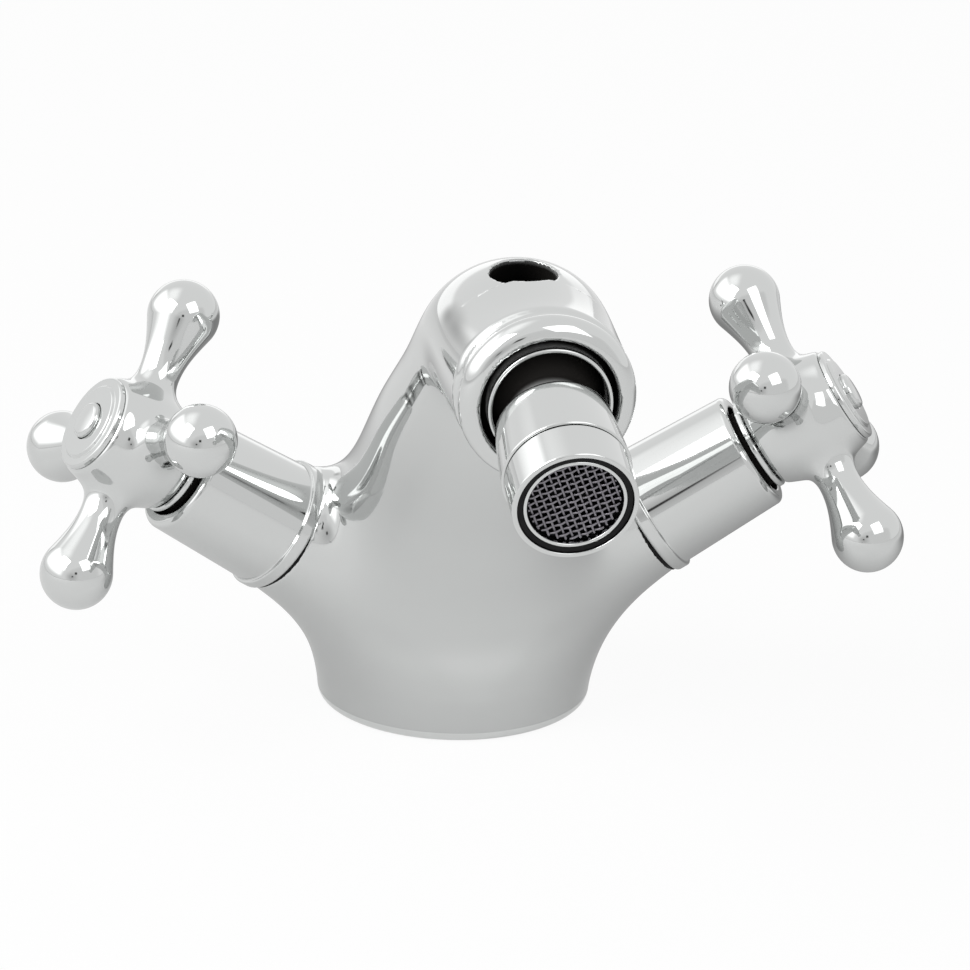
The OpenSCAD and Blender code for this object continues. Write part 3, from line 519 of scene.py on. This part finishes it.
def rounded(corners, steps=7):
    """An outline of (radius, height, rounding) corners, each replaced by an arc that touches both its sides."""
    corners = np.asarray(corners, float)
    points = []
    count = len(corners)
    for i, (r, z, fillet) in enumerate(corners):
        here = np.array([r, z])
        back, ahead = corners[i - 1][:2] - here, corners[(i + 1) % count][:2] - here
        la, lb = np.linalg.norm(back), np.linalg.norm(ahead)
        if fillet <= 0 or la == 0 or lb == 0:
            points.append(here)
            continue
        back, ahead = back / la, ahead / lb
        half = np.arccos(np.clip(back @ ahead, -1, 1)) / 2
        run = min(fillet / np.tan(half), 0.48 * la, 0.48 * lb)
        fillet = run * np.tan(half)
        centre = here + unit(back + ahead) * np.hypot(run, fillet)
        a, b = here + back * run - centre, here + ahead * run - centre
        sweep = np.arctan2(a[0] * b[1] - a[1] * b[0], a @ b)
        turn = np.linspace(0, sweep, steps)
        points += list(centre + np.stack([a[0] * np.cos(turn) - a[1] * np.sin(turn),
                                          a[0] * np.sin(turn) + a[1] * np.cos(turn)], axis=1))
    return np.array(points)


def bands(low, high):
    """Quads between rings of points, each ring a row."""
    return np.stack([low, np.roll(low, -1, 1), np.roll(high, -1, 1), high], axis=2).reshape(-1, 4)


def turned(outline, place, sides=144):
    """A closed outline of (radius, height) carried round a frame's third column; it runs inside up, outside
    down or the other way, and its faces are turned outwards. Points on the axis close as poles."""
    origin, columns = place
    outline = np.asarray(outline, float)
    turn = np.linspace(0, 2 * np.pi, sides, endpoint=False)
    r, z = outline[:, 0][:, None], outline[:, 1][:, None]
    local = np.stack([r * np.cos(turn), r * np.sin(turn), z + 0 * turn], axis=2)
    count = len(outline)
    grid = np.arange(count * sides).reshape(count, sides)
    faces = bands(grid, np.roll(grid, -1, axis=0))
    area = (outline[:, 0] * np.roll(outline[:, 1], -1) - np.roll(outline[:, 0], -1) * outline[:, 1]).sum()
    if (area < 0) != (np.linalg.det(columns) < 0):
        faces = faces[:, ::-1]
    verts = origin + local.reshape(-1, 3) @ columns.T
    return merge_poles(verts, faces, outline[:, 0] < 1e-9, sides)


def merge_poles(verts, faces, on_axis, sides):
    """Rings of no radius become single points, and the faces that collapse with them go."""
    ids = np.arange(len(verts)).reshape(-1, sides)
    ids[on_axis] = ids[on_axis][:, :1]
    faces = ids.ravel()[faces]
    same = (faces == np.roll(faces, -1, axis=1)).sum(1)
    faces = faces[same < 2]
    used, index = np.unique(faces, return_inverse=True)
    return verts[used], index.reshape(faces.shape), None


def weighted_normals(verts, faces):
    """Point normals as the sum of the faces' cross products, so that large faces count most."""
    a, b, c, d = (verts[faces[:, k]] for k in range(4))
    cross = np.cross(c - a, d - b)
    total = np.stack([sum(np.bincount(faces[:, k], cross[:, j], len(verts)) for k in range(4))
                      for j in range(3)], 1)
    return total / np.maximum(np.linalg.norm(total, axis=1, keepdims=True), 1e-12)


def put(name, data):
    """A new object of some data, linked to the scene."""
    made = bpy.data.objects.new(name, data)
    bpy.context.scene.collection.objects.link(made)
    return made


def make_piece(name, made, material, body, *nodes, slot="chrome", painted_shade=None):
    """Puts points, quads and normals into a mesh object that rides on a body and stands for CAD nodes. Where a
    shade mask is given, it says for each point how much painted shade it takes, from 0 to 1: a dark, matte
    colour standing in for the shade in bores and gaps."""
    verts, faces, normals = made
    if normals is None:
        normals = weighted_normals(verts, faces)
    mesh = bpy.data.meshes.new(name)
    poles = (faces == np.roll(faces, -1, axis=1)).any(1)
    corners = [list(dict.fromkeys(face)) for face in faces[poles].tolist()]
    mesh.from_pydata(verts.tolist(), [], faces[~poles].tolist() + corners)
    mesh.shade_smooth()
    mesh.normals_split_custom_set_from_vertices(normals.tolist())
    mesh.materials.append(bpy.data.materials[material])
    # The mask of painted shade, stored on the points
    if painted_shade is not None:
        mesh.attributes.new("painted_shade", "FLOAT", "POINT").data.foreach_set("value", np.asarray(painted_shade, np.float32))
    piece = put(name, mesh)
    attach(piece, body)
    if nodes:
        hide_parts(*nodes)


# Materials

def feed(tree, given, into):
    """Links an output to an input, or sets the input to a plain value."""
    if isinstance(given, bpy.types.NodeSocket):
        tree.links.new(given, into)
    else:
        into.default_value = given


def feed_all(tree, made, inputs):
    """The same for several inputs of a node, by name."""
    for name, given in inputs.items():
        feed(tree, given, made.inputs[name])


def node(tree, kind, inputs=None, **settings):
    """A shader node with its settings, whose named inputs take outputs of other nodes or plain values."""
    made = tree.nodes.new("ShaderNode" + kind)
    for name, value in settings.items():
        setattr(made, name, value)
    feed_all(tree, made, inputs or {})
    return made


def calc(tree, operation, *terms):
    """The result of one step of arithmetic on outputs or plain numbers."""
    made = node(tree, "Math", operation=operation)
    for given, into in zip(terms, made.inputs):
        feed(tree, given, into)
    return made.outputs[0]


def blend(tree, share_of_second, first, second, out):
    """Mixes two shaders into a material's output."""
    mix = node(tree, "MixShader", {"Fac": share_of_second})
    feed(tree, first, mix.inputs[1])
    feed(tree, second, mix.inputs[2])
    feed(tree, mix.outputs["Shader"], out.inputs["Surface"])


def surface_play_group():
    """Two sizes of noise over the surface: a soft ripple for the height and a patchy haze for the roughness."""
    group = bpy.data.node_groups.new("surface_play", "ShaderNodeTree")
    group.interface.new_socket(name="Vector", in_out="INPUT", socket_type="NodeSocketVector")
    for way, names in (("INPUT", ("Ripple Scale", "Haze Scale", "Least Roughness", "Most Roughness")),
                       ("OUTPUT", ("Height", "Roughness"))):
        for name in names:
            group.interface.new_socket(name=name, in_out=way, socket_type="NodeSocketFloat")
    given = group.nodes.new("NodeGroupInput").outputs
    ripple = node(group, "TexNoise", {"Vector": given["Vector"], "Scale": given["Ripple Scale"], "Detail": 1.0})
    haze = node(group, "TexNoise", {"Vector": given["Vector"], "Scale": given["Haze Scale"], "Detail": 5.0})
    spread = node(group, "MapRange", {"Value": haze.outputs["Fac"], "From Min": 0.35, "From Max": 0.70,
                                      "To Min": given["Least Roughness"], "To Max": given["Most Roughness"]})
    feed_all(group, group.nodes.new("NodeGroupOutput"),
             {"Height": ripple.outputs["Fac"], "Roughness": spread.outputs["Result"]})


def blank_material(name):
    """A material with one Principled shader, and its node tree and shader."""
    made = bpy.data.materials.new(name)
    made.use_nodes = True
    return made, made.node_tree, made.node_tree.nodes["Principled BSDF"]


def finish_material(name, base, metallic, rough, ripple, haze=180.0, hollow_shade=0.0, specular=0.5):
    """A plain finish with surface play: roughness wanders between two values, a bump of small depth follows the
    ripple (its scale and strength), and the colour dims by the given share in the ripple's hollows: a random
    tone that is also painted shade in the bump's low places."""
    _, tree, shader = blank_material(name)
    play = node(tree, "Group", {"Vector": node(tree, "TexCoord").outputs["Object"], "Ripple Scale": ripple[0],
                                "Haze Scale": haze, "Least Roughness": rough[0], "Most Roughness": rough[1]},
                node_tree=bpy.data.node_groups["surface_play"])
    bump = node(tree, "Bump", {"Height": play.outputs["Height"], "Strength": ripple[1], "Distance": 0.001})
    # Partly random tone, partly painted shade: the colour is darker where the ripple is low
    ramp = node(tree, "ValToRGB", {"Fac": play.outputs["Height"]})
    for stop, place, bright in zip(ramp.color_ramp.elements, (0.3, 0.7), (1 - hollow_shade, 1)):
        stop.position = place
        stop.color = [v * bright for v in base] + [1]
    feed_all(tree, shader, {"Base Color": ramp.outputs["Color"], "Roughness": play.outputs["Roughness"],
                            "Normal": bump.outputs["Normal"], "Metallic": metallic,
                            "Specular IOR Level": specular})


def chrome_and_painted_shade(f):
    """The plating again, with painted shade where the piece's own mask says so: a dark, matte colour that is
    not metallic and stands in for the shade in bores and gaps and round the hidden ball.
    """
    made = bpy.data.materials["polished_chrome"].copy()
    made.name = "chrome_with_painted_shade"
    tree = made.node_tree
    shader = tree.nodes["Principled BSDF"]
    shader.inputs["Specular IOR Level"].default_value = 0.08
    mask = node(tree, "Attribute", attribute_name="painted_shade")
    fade = node(tree, "MapRange", {"Value": mask.outputs["Fac"]}, interpolation_type="SMOOTHSTEP")
    # Painted shade: near-black, matte and not metallic
    painted_shade = {"Base Color": (*f.bore, 1), "Roughness": 0.75, "Metallic": 0.0}
    for name, plain in painted_shade.items():
        # A mix node's colour inputs come after its float and vector ones
        kind, first, out = ("RGBA", 6, 2) if name == "Base Color" else ("FLOAT", 2, 0)
        mix = node(tree, "Mix", {"Factor": fade.outputs["Result"]}, data_type=kind)
        into = shader.inputs[name]
        feed(tree, into.links[0].from_socket if into.is_linked else into.default_value, mix.inputs[first])
        feed(tree, plain, mix.inputs[first + 1])
        feed(tree, mix.outputs[out], into)


def glow_material(name, strength, soft):
    """A soft box: an even glow that fades to clear over the given share of the card's width and height."""
    made, tree, _ = blank_material(name)
    tree.nodes.clear()
    place = node(tree, "SeparateXYZ", {"Vector": node(tree, "UVMap", uv_map="card").outputs["UV"]})
    fades = []
    for axis in "XY":
        off = calc(tree, "ABSOLUTE", calc(tree, "SUBTRACT", place.outputs[axis], 0.5))
        fade = node(tree, "MapRange", {"Value": off, "From Min": 0.5 - soft, "From Max": 0.5, "To Min": 1.0,
                                       "To Max": 0.0}, interpolation_type="SMOOTHSTEP")
        fades.append(fade.outputs["Result"])
    blend(tree, calc(tree, "MULTIPLY", *fades), node(tree, "BsdfTransparent").outputs["BSDF"],
          node(tree, "Emission", {"Strength": strength}).outputs["Emission"], node(tree, "OutputMaterial"))
    return made


def ray_kinds(tree):
    """Whether a ray comes from the camera, and whether it was mirrored or went through glass."""
    path = node(tree, "LightPath").outputs
    return path["Is Camera Ray"], calc(tree, "MAXIMUM", path["Is Glossy Ray"], path["Is Transmission Ray"])


def floor_material():
    """A white floor: where it is seen or mirrored, part of its white is even, so that a soft shadow stays."""
    made, tree, shader = blank_material("pale_floor")
    feed_all(tree, shader, {"Base Color": (0.8, 0.8, 0.8, 1), "Roughness": 0.9, "Specular IOR Level": 0.0})
    seen, mirrored = ray_kinds(tree)
    even = calc(tree, "MAXIMUM", calc(tree, "MULTIPLY", seen, 0.93), calc(tree, "MULTIPLY", mirrored, 0.55))
    blend(tree, even, shader.outputs["BSDF"], node(tree, "Emission").outputs["Emission"],
          tree.nodes["Material Output"])
    return made


def studio_world(scene):
    """A white world: of full strength where it is seen or mirrored, and weaker as a light."""
    world = bpy.data.worlds.new("studio")
    scene.world = world
    world.use_nodes = True
    tree = world.node_tree
    sky = tree.nodes["Background"]
    sky.inputs["Color"].default_value = (1, 1, 1, 1)
    light, rest = 0.6, 0.4
    feed(tree, calc(tree, "MULTIPLY_ADD", calc(tree, "MAXIMUM", *ray_kinds(tree)), rest, light),
         sky.inputs["Strength"])


class TAP_OT_materials(Operator):
    """Makes the finishes and puts them on the pieces that stay as they are."""

    bl_idname = "tap.materials"
    bl_label = "Materials"

    def execute(self, context):
        f = context.scene.tap.finish
        surface_play_group()
        smooth = f.chrome_roughness
        finish_material("polished_chrome", f.chrome, 1.0, (smooth * 0.7, smooth * 1.3), (38.0, 0.012))
        chrome_and_painted_shade(f)
        for row in (("machined_brass", f.brass, 1.0, (0.22, 0.38), (900.0, 0.05), 700.0, 0.12),
                    ("plain_steel", f.steel, 1.0, (0.22, 0.36), (800.0, 0.05), 500.0, 0.08),
                    ("seal_rubber", f.rubber, 0.0, (0.45, 0.62), (600.0, 0.10), 400.0, 0.3, 0.15),
                    ("valve_ceramic", f.ceramic, 0.0, (0.18, 0.26), (300.0, 0.02), 300.0, 0.04),
                    ("pale_plastic", f.plastic, 0.0, (0.35, 0.50), (500.0, 0.05), 300.0, 0.06),
                    ("black_plastic", f.dark_plastic, 0.0, (0.50, 0.65), (500.0, 0.05), 300.0, 0.2, 0.05),
                    ("woven_wire", f.wire, 1.0, (0.30, 0.42), (900.0, 0.05), 500.0, 0.1)):
            finish_material(*row)
        look = {"brass": "machined_brass", "steel": "plain_steel", "rubber": "seal_rubber",
                "black_rubber": "seal_rubber", "ceramic": "valve_ceramic", "plastic": "pale_plastic",
                "dark_plastic": "black_plastic", "chrome": "polished_chrome"}
        for part in frame["record"]["subparts"]:
            finishes = frame["nodes"][part["node"]].data.materials
            finishes.clear()
            finishes.append(bpy.data.materials[look[part["material_slot"]]])
        return {"FINISHED"}


class TAP_OT_casting(Operator):
    """The cast body: base, branches, neck and collar as one polished skin with its bores."""

    bl_idname = "tap.casting"
    bl_label = "Casting"

    def execute(self, context):
        c, n = context.scene.tap.casting, context.scene.tap.nozzle
        grain = c.grain * 1
        # The skin is searched for this far round the CAD's box
        room = 0.0016
        low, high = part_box("body_casting")
        outside, field = casting_fields(c, n)
        made = skin(field, np.array(low) - room, np.array(high) + room, grain)
        # Painted shade: points inside the outer skin (the bores, the rod hole and the socket) darken with
        # depth, up to the dark colour that stands in for their shade
        painted_shade = np.clip(-outside(*made[0].T) / c.painted_shade_depth, 0, 1)
        make_piece("casting", made, "chrome_with_painted_shade", "body", "body_casting", painted_shade=painted_shade)
        return {"FINISHED"}


class TAP_OT_handles(Operator):
    """Both cross handles: hub, arms and balls in one skin, turned to each handle's rest."""

    bl_idname = "tap.handles"
    bl_label = "Cross handles"

    def execute(self, context):
        h = context.scene.tap.handle
        room = 0.0012
        reach = h.arm_len + h.ball_r + room
        grain = h.grain * 1
        low = np.array([-reach, -reach, h.sleeve_end - room])
        high = np.array([reach, reach, h.hub_top + room])
        verts, faces, normals = skin(handle_field(h), low, high, grain)
        for side, word in SIDES:
            origin, columns = handle_frame(side)
            way = columns @ spun(h.left_turn if side == LEFT else h.right_turn)
            facing = faces[:, ::-1] if np.linalg.det(way) < 0 else faces
            made = (origin + verts @ way.T, facing, normals @ way.T)
            # Painted shade: the sleeve below the hub, which reaches into the shroud, takes the dark colour that
            # stands in for its shade
            make_piece(f"{word}_cross", made, "chrome_with_painted_shade", f"{word}_handle", f"{word}_cross_handle",
                       painted_shade=np.clip((h.hub_foot - verts[:, 2]) / 0.0003, 0, 1))
        return {"FINISHED"}


class TAP_OT_handle_trim(Operator):
    """Shrouds, black seam rings that fill the gap under each shroud as painted shade, collar rings, cap discs
    and index buttons, turned from their outlines.
    """

    bl_idname = "tap.handle_trim"
    bl_label = "Shrouds and caps"

    def execute(self, context):
        h = context.scene.tap.handle
        base, end, top = h.shroud_base, h.shroud_end, h.hub_top
        # Radii and heights of the outlines, in metres
        flange_r, bead_r, mouth_r, well_r = 0.01125, 0.0131, 0.0091, 0.0071
        flange_top, well_top, bead_top = 0.052, 0.0575, base + 0.0027
        shroud = rounded([
            (flange_r, base, 0.0001), (bead_r, base, 0.00125), (bead_r, bead_top, 0.00125),
            (0.0124, bead_top, 0.0004), (0.0116, end, 0.0031), (mouth_r, end, 0.0004),
            (mouth_r, well_top, 0), (well_r, well_top, 0), (well_r, flange_top, 0),
            (flange_r, flange_top, 0)], 9)
        # A black ring fills the gap between each branch and its shroud, so that the seam shows black: painted
        # shade in the gap
        seal_in, seal_out, seal_low, seal_high = 0.0108, 0.01255, 0.04253, 0.04297
        seam = rounded([(seal_in, seal_low, 0), (seal_out, seal_low, 0.0001), (seal_out, seal_high, 0.0001),
                        (seal_in, seal_high, 0)], 4)
        ring_in, ring_out, ring_low, ring_high = 0.00785, 0.009, 0.0686, 0.0698
        ring = rounded([(ring_in, ring_low, 0.0001), (ring_out, ring_low, 0.0004),
                        (ring_out, ring_high, 0.0004), (ring_in, ring_high, 0.0001)])
        tail_in, tail_out, step_in, step_out = 0.0055, 0.0069, 0.0072, 0.0076
        button_r, screw_r, button_floor = 0.0036, 0.0026, top - 0.0012
        cap = rounded([
            (tail_in, top - 0.0022, 0), (tail_out, top - 0.0022, 0), (tail_out, top, 0),
            (h.cap_r, top, 0.00015), (h.cap_r, top + 0.0011, 0.0005), (step_out, top + 0.0011, 0.0002),
            (step_in, top + 0.0016, 0.0003), (0.0037, top + 0.0016, 0.0002), (0.0037, button_floor, 0),
            (screw_r, button_floor, 0), (screw_r, top - 0.002, 0), (tail_in, top - 0.002, 0)])
        button = rounded([(0, button_floor, 0), (button_r, button_floor, 0), (button_r, top + 0.0026, 0.0008),
                          (0, top + 0.0028, 0)])
        for side, word in SIDES:
            axis = handle_frame(side)
            made = turned(shroud, axis)
            u, v, s = along(axis, *made[0].T)
            # Painted shade: the inside of the shroud's mouth and well, and its inner end, take the dark colour
            # that stands in for their shade
            inner = np.clip((mouth_r + 0.0002 - np.hypot(u, v)) / 0.0002, 0, 1)
            under = np.where(s < base + 0.0001, 1.0, 0.0)
            make_piece(f"{word}_shroud_skin", made, "chrome_with_painted_shade", "body", f"{word}_shroud",
                       painted_shade=np.maximum(inner, under))
            # The black seam ring: painted shade in the gap under the shroud
            make_piece(f"{word}_seam_shade_ring", turned(seam, axis), "seal_rubber", "body", slot="black_rubber")
            for name, outline, sides, part in (("ring", ring, 144, "collar_ring"),
                                               ("cap", cap, 144, "cap_disc"),
                                               ("button", button, 96, "index_button")):
                make_piece(f"{word}_{name}", turned(outline, axis, sides), "polished_chrome",
                           f"{word}_handle", f"{word}_{part}")
        return {"FINISHED"}


class TAP_OT_nozzle(Operator):
    """The ball with its barrel, the ring that holds it, and the aerator's chromed parts and seal."""

    bl_idname = "tap.nozzle"
    bl_label = "Nozzle"

    def execute(self, context):
        c, n = context.scene.tap.casting, context.scene.tap.nozzle
        holder, spout = ball_frame(c.socket_tilt), ball_frame(n.tilt)
        seat_r, seat_back = n.ball_r + 0.00015, -0.0034
        seat_z = np.linspace(0, 0.0042, 12)
        seat = np.stack([np.sqrt(seat_r**2 - seat_z**2), seat_z], axis=1)
        lip_in, lip_out, front, step = 0.0105, 0.0113, c.mouth_at + 0.0006, c.mouth_at - 0.003
        outer = c.socket_r - 0.0001
        ring = np.vstack([[[seat_r, seat_back]], seat, rounded([
            (lip_in, 0.0047, 0), (lip_in, front, 0.0003), (lip_out, front, 0.0003),
            (lip_out, step, 0), (outer, step, 0), (outer, seat_back, 0)])])
        made = turned(ring, holder)
        # Painted shade: the ring's seat and the inside of its lip, behind the front, take the dark colour that
        # stands in for the shade round the ball
        height = along(holder, *made[0].T)[2]
        make_piece("ball_ring", made, "chrome_with_painted_shade", "body", "ball_retaining_ring",
                   painted_shade=np.clip((front - 0.0004 - height) / 0.0004, 0, 1))
        waist_r, flat, bore_r = 0.0076, 0.0085, 0.0054
        back, shoulder_r, barrel_r, joint = 0.013, 0.0106, 0.0117, 0.0276
        thread_r, thread_back = 0.0099, 0.018
        turn = np.linspace(-np.arcsin(flat / n.ball_r), np.arccos(waist_r / n.ball_r), 40)
        ball = np.stack([n.ball_r * np.cos(turn), n.ball_r * np.sin(turn)], axis=1)
        barrel = rounded([
            (waist_r, back, 0.0005), (shoulder_r, back, 0.0034), (barrel_r, joint, 0.0004),
            (thread_r, joint, 0), (thread_r, thread_back, 0), (bore_r, thread_back, 0), (bore_r, -flat, 0)], 12)
        made = turned(np.vstack([ball, barrel]), spout)
        # Painted shade: the ball, sunk in its socket, and the start of its bore take the dark colour that
        # stands in for their shade; the barrel stays plated
        height = along(spout, *made[0].T)[2]
        make_piece("ball_and_barrel", made, "chrome_with_painted_shade", "nozzle", "ball_barrel",
                   painted_shade=np.clip((0.0105 - height) / 0.001, 0, 1))
        sleeve_back, sleeve_front, cup_r, sleeve_in, sleeve_r = 0.0278, 0.030, 0.0086, 0.01035, 0.0113
        housing = rounded([
            (cup_r, 0.0195, 0), (0.0098, 0.0195, 0), (0.0098, sleeve_back, 0), (sleeve_r, sleeve_back, 0.00025),
            (sleeve_r, n.reach, 0.0006), (sleeve_in, n.reach, 0.0002), (sleeve_in, sleeve_front, 0),
            (cup_r, sleeve_front, 0)])
        make_piece("aerator_sleeve", turned(housing, spout), "polished_chrome", "nozzle", "aerator_housing")
        rim, flange_top = n.reach - 0.0004, 0.0313
        rim_in, rim_out, cup_in, cup_out = 0.00855, 0.00925, 0.0076, 0.0085
        cup = rounded([
            (cup_in, 0.024, 0), (cup_out, 0.024, 0), (cup_out, sleeve_front, 0), (0.01025, sleeve_front, 0),
            (0.01025, flange_top, 0), (rim_out, flange_top, 0), (rim_out, rim, 0.00025), (rim_in, rim, 0.00025),
            (rim_in, flange_top, 0), (cup_in, flange_top, 0)])
        make_piece("aerator_rim", turned(cup, spout), "polished_chrome", "nozzle", "aerator_cup")
        seal_in, seal_out, seal_front = 0.00927, 0.01033, rim - 0.0001
        seal = rounded([(seal_in, flange_top, 0), (seal_out, flange_top, 0), (seal_out, seal_front, 0.0002),
                        (seal_in, seal_front, 0.0002)])
        make_piece("outlet_ring", turned(seal, spout), "seal_rubber", "nozzle", "outlet_seal",
                   slot="black_rubber")
        return {"FINISHED"}


class TAP_OT_screen(Operator):
    """The mesh screen: wires woven over and under each other."""

    bl_idname = "tap.screen"
    bl_label = "Mesh screen"

    def execute(self, context):
        n = context.scene.tap.nozzle
        made = woven(n, ball_frame(n.tilt), n.reach - 0.0016)
        make_piece("woven_screen", made, "woven_wire", "nozzle", "mesh_screen", slot="steel")
        return {"FINISHED"}


def woven(n, place, level):
    """Wires along x at rows y = j * pitch: the height is 0.6 of the wire's radius times the sine of
    pi * (x / pitch + wires / 2 + j), and the same across with the other sign, so that each wire passes over and
    under in turn, pressed together where they cross. Each wire is an eight-sided tube, closed at its ends, and
    the whole is turned about the outlet's axis."""
    origin, columns = place
    radius = n.mesh_r - n.wire_r
    pitch = 2 * radius / n.wires
    rows = (np.arange(n.wires) - (n.wires - 1) / 2) * pitch
    sides, steps = 8, 6
    turn = np.linspace(0, 2 * np.pi, sides, endpoint=False)
    ring = np.stack([0 * turn, np.cos(turn), np.sin(turn)], axis=1)
    verts, faces = [], []
    start = 0
    for crossing in (0, 1):
        for j, row in enumerate(rows):
            half = np.sqrt(radius**2 - row**2)
            run = np.linspace(-half, half, max(int(round(2 * half / pitch * steps)), steps) + 1)
            phase = np.pi * (run / pitch + n.wires / 2 + j + crossing)
            height = level + n.wire_r * 0.6 * np.sin(phase)
            middle = np.stack([run, 0 * run + row, height], axis=1)
            tube = middle[:, None, :] + n.wire_r * ring[None]
            if crossing:
                tube = tube[..., [1, 0, 2]][:, ::-1]
            count = len(run)
            grid = start + np.arange(count * sides).reshape(count, sides)
            faces.append(bands(grid[:-1], grid[1:])[:, ::-1])
            verts.append(tube.reshape(-1, 3))
            for end, flip in ((grid[0], 1), (grid[-1], -1)):
                faces.append(end[[[0, 1, 2, 3], [0, 3, 4, 7], [4, 5, 6, 7]]][:, ::flip])
            start += count * sides
    local = np.concatenate(verts) @ spun(n.wires_turn).T
    return origin + local @ columns.T, np.concatenate(faces), None


class TAP_OT_stage(Operator):
    """The floor, the cards, the lamps and the camera."""

    bl_idname = "tap.stage"
    bl_label = "Stage"

    def execute(self, context):
        scene = context.scene
        scene.view_settings.view_transform = "Standard"
        place_camera(scene)
        floor = card("floor", (0, 0, 0), (0, 0, 1), (0, 1, 0), 8.0, 8.0, floor_material())
        floor.visible_diffuse = floor.visible_camera = floor.visible_shadow = True
        studio_cards()
        lamp("key", (-0.85, -0.35, 0.85), 0.7, 9.0)
        lamp("fill", (0.5, -0.9, 1.0), 0.8, 3.0)
        studio_world(scene)
        return {"FINISHED"}


def card(name, centre, facing, up, wide, tall, material):
    """A flat card of one quad, seen by reflections only."""
    centre, facing = np.array(centre, float), unit(np.array(facing, float))
    side = unit(np.cross(up, facing))
    up = np.cross(facing, side)
    corners = [centre + side * a * wide / 2 + up * b * tall / 2
               for a, b in ((-1, -1), (1, -1), (1, 1), (-1, 1))]
    mesh = bpy.data.meshes.new(name)
    mesh.from_pydata([c.tolist() for c in corners], [], [(0, 1, 2, 3)])
    mesh.uv_layers.new(name="card").data.foreach_set("uv", (0, 0, 1, 0, 1, 1, 0, 1))
    mesh.materials.append(material)
    made = put(name, mesh)
    made.visible_camera = made.visible_diffuse = made.visible_shadow = False
    return made


def card_facing(name, azimuth, elevation, distance, wide, tall, turn, material):
    """A card seen from the tap in a direction in degrees, turned about that view."""
    a, e, t = np.radians([azimuth, elevation, turn])
    way = direction(a, e)
    aside = np.array([np.cos(a), np.sin(a), 0])
    up = np.cross(aside, -way)
    card(name, way * distance + MIDDLE, -way, up * np.cos(t) + aside * np.sin(t), wide, tall, material)


def studio_cards():
    """The soft boxes and dark strips round the tap, which give the plating its tones. A row holds a card's
    name, azimuth, elevation, distance, width, height, turn and glow (its strength and softness)."""
    shade, strip = (0.60, 0.5), (0.03, 0.35)
    for *row, glow in (("wall_front", 20, 14, 1.8, 4.6, 2.2, 0, (0.86, 0.2)),
                       ("wall_rear", 180, 2, 1.8, 2.2, 0.8, 0, (1.35, 0.2)),
                       ("box_left", -98, 29, 1.2, 2.5, 1.15, 0, (1.8, 0.22)),
                       ("shade_front", -25, 8, 1.3, 1.2, 0.95, 0, shade),
                       ("box_high", -115, 62, 1.2, 1.5, 1.0, 0, (1.45, 0.42)),
                       ("dark_camera", -12, 20, 1.15, 0.22, 0.22, 0, strip),
                       ("dark_low", -23, 9.5, 1.1, 0.14, 0.11, 0, strip),
                       ("shade_rear", -152, 8, 1.0, 0.18, 0.5, 0, shade),
                       ("strip_left", -47, -14, 0.9, 0.05, 1.0, 60, strip)):
        card_facing(*row, glow_material(f"{row[0]}_glow", *glow))
    # Painted shadow: a dim card on the floor to the right of and behind the tap, seen only in reflections,
    # stands in for the tap's shadow there
    shadow_glow = glow_material("painted_floor_shadow", 0.30, 0.35)
    card("floor_shade", (0.11, 0.13, 0.002), (0, 0, 1), (0, 1, 0), 0.50, 0.42, shadow_glow)


def lamp(name, place, size, power):
    """A square soft light aimed at the tap."""
    data = bpy.data.lights.new(name, "AREA")
    data.size, data.energy = size, power
    aim_at(put(name, data), np.array(place, float), MIDDLE, 0.0)


def aim_at(thing, place, target, roll):
    """Turns a camera or lamp to look from its place at a target, rolled about its view."""
    back = unit(place - target)
    right = unit(np.cross([0, 0, 1.0], back))
    columns = np.eye(4)
    columns[:3, :3] = np.column_stack([right, np.cross(back, right), back]) @ spun(roll)
    columns[:3, 3] = place
    thing.matrix_world = Matrix(columns.tolist())


def place_camera(scene):
    """The camera at the photograph's angle, distance and lens."""
    s = scene.tap.stage
    data = bpy.data.cameras.new("camera")
    data.lens, data.sensor_width, data.clip_start, data.clip_end = s.lens, 36.0, 0.01, 50.0
    made = put("camera", data)
    target = np.array([s.aim_x, 0.0, s.aim_z])
    aim_at(made, target + s.distance * direction(s.azimuth, s.elevation), target, s.roll)
    scene.camera = made


STEPS = (TAP_OT_materials, TAP_OT_casting, TAP_OT_handles, TAP_OT_handle_trim, TAP_OT_nozzle, TAP_OT_screen,
         TAP_OT_stage)


class TAP_PT_panel(Panel):
    """Lists the steps in the order in which they run."""

    bl_label = "Bidet Mixer Tap"
    bl_space_type = "VIEW_3D"
    bl_region_type = "UI"
    bl_category = "Tap"

    def draw(self, context):
        for step in STEPS:
            self.layout.operator(step.bl_idname)


CLASSES = (TapCastingSizes, TapHandleSizes, TapNozzleSizes, TapFinishes, TapStage, TapSettings, *STEPS,
           TAP_PT_panel)


def register():
    for made in CLASSES:
        bpy.utils.register_class(made)
    bpy.types.Scene.tap = PointerProperty(type=TapSettings)


def unregister():
    del bpy.types.Scene.tap
    for made in reversed(CLASSES):
        bpy.utils.unregister_class(made)


def main():
    register()
    for step in STEPS:
        group, name = step.bl_idname.split(".")
        getattr(getattr(bpy.ops, group), name)()


if __name__ == "__main__":
    main()
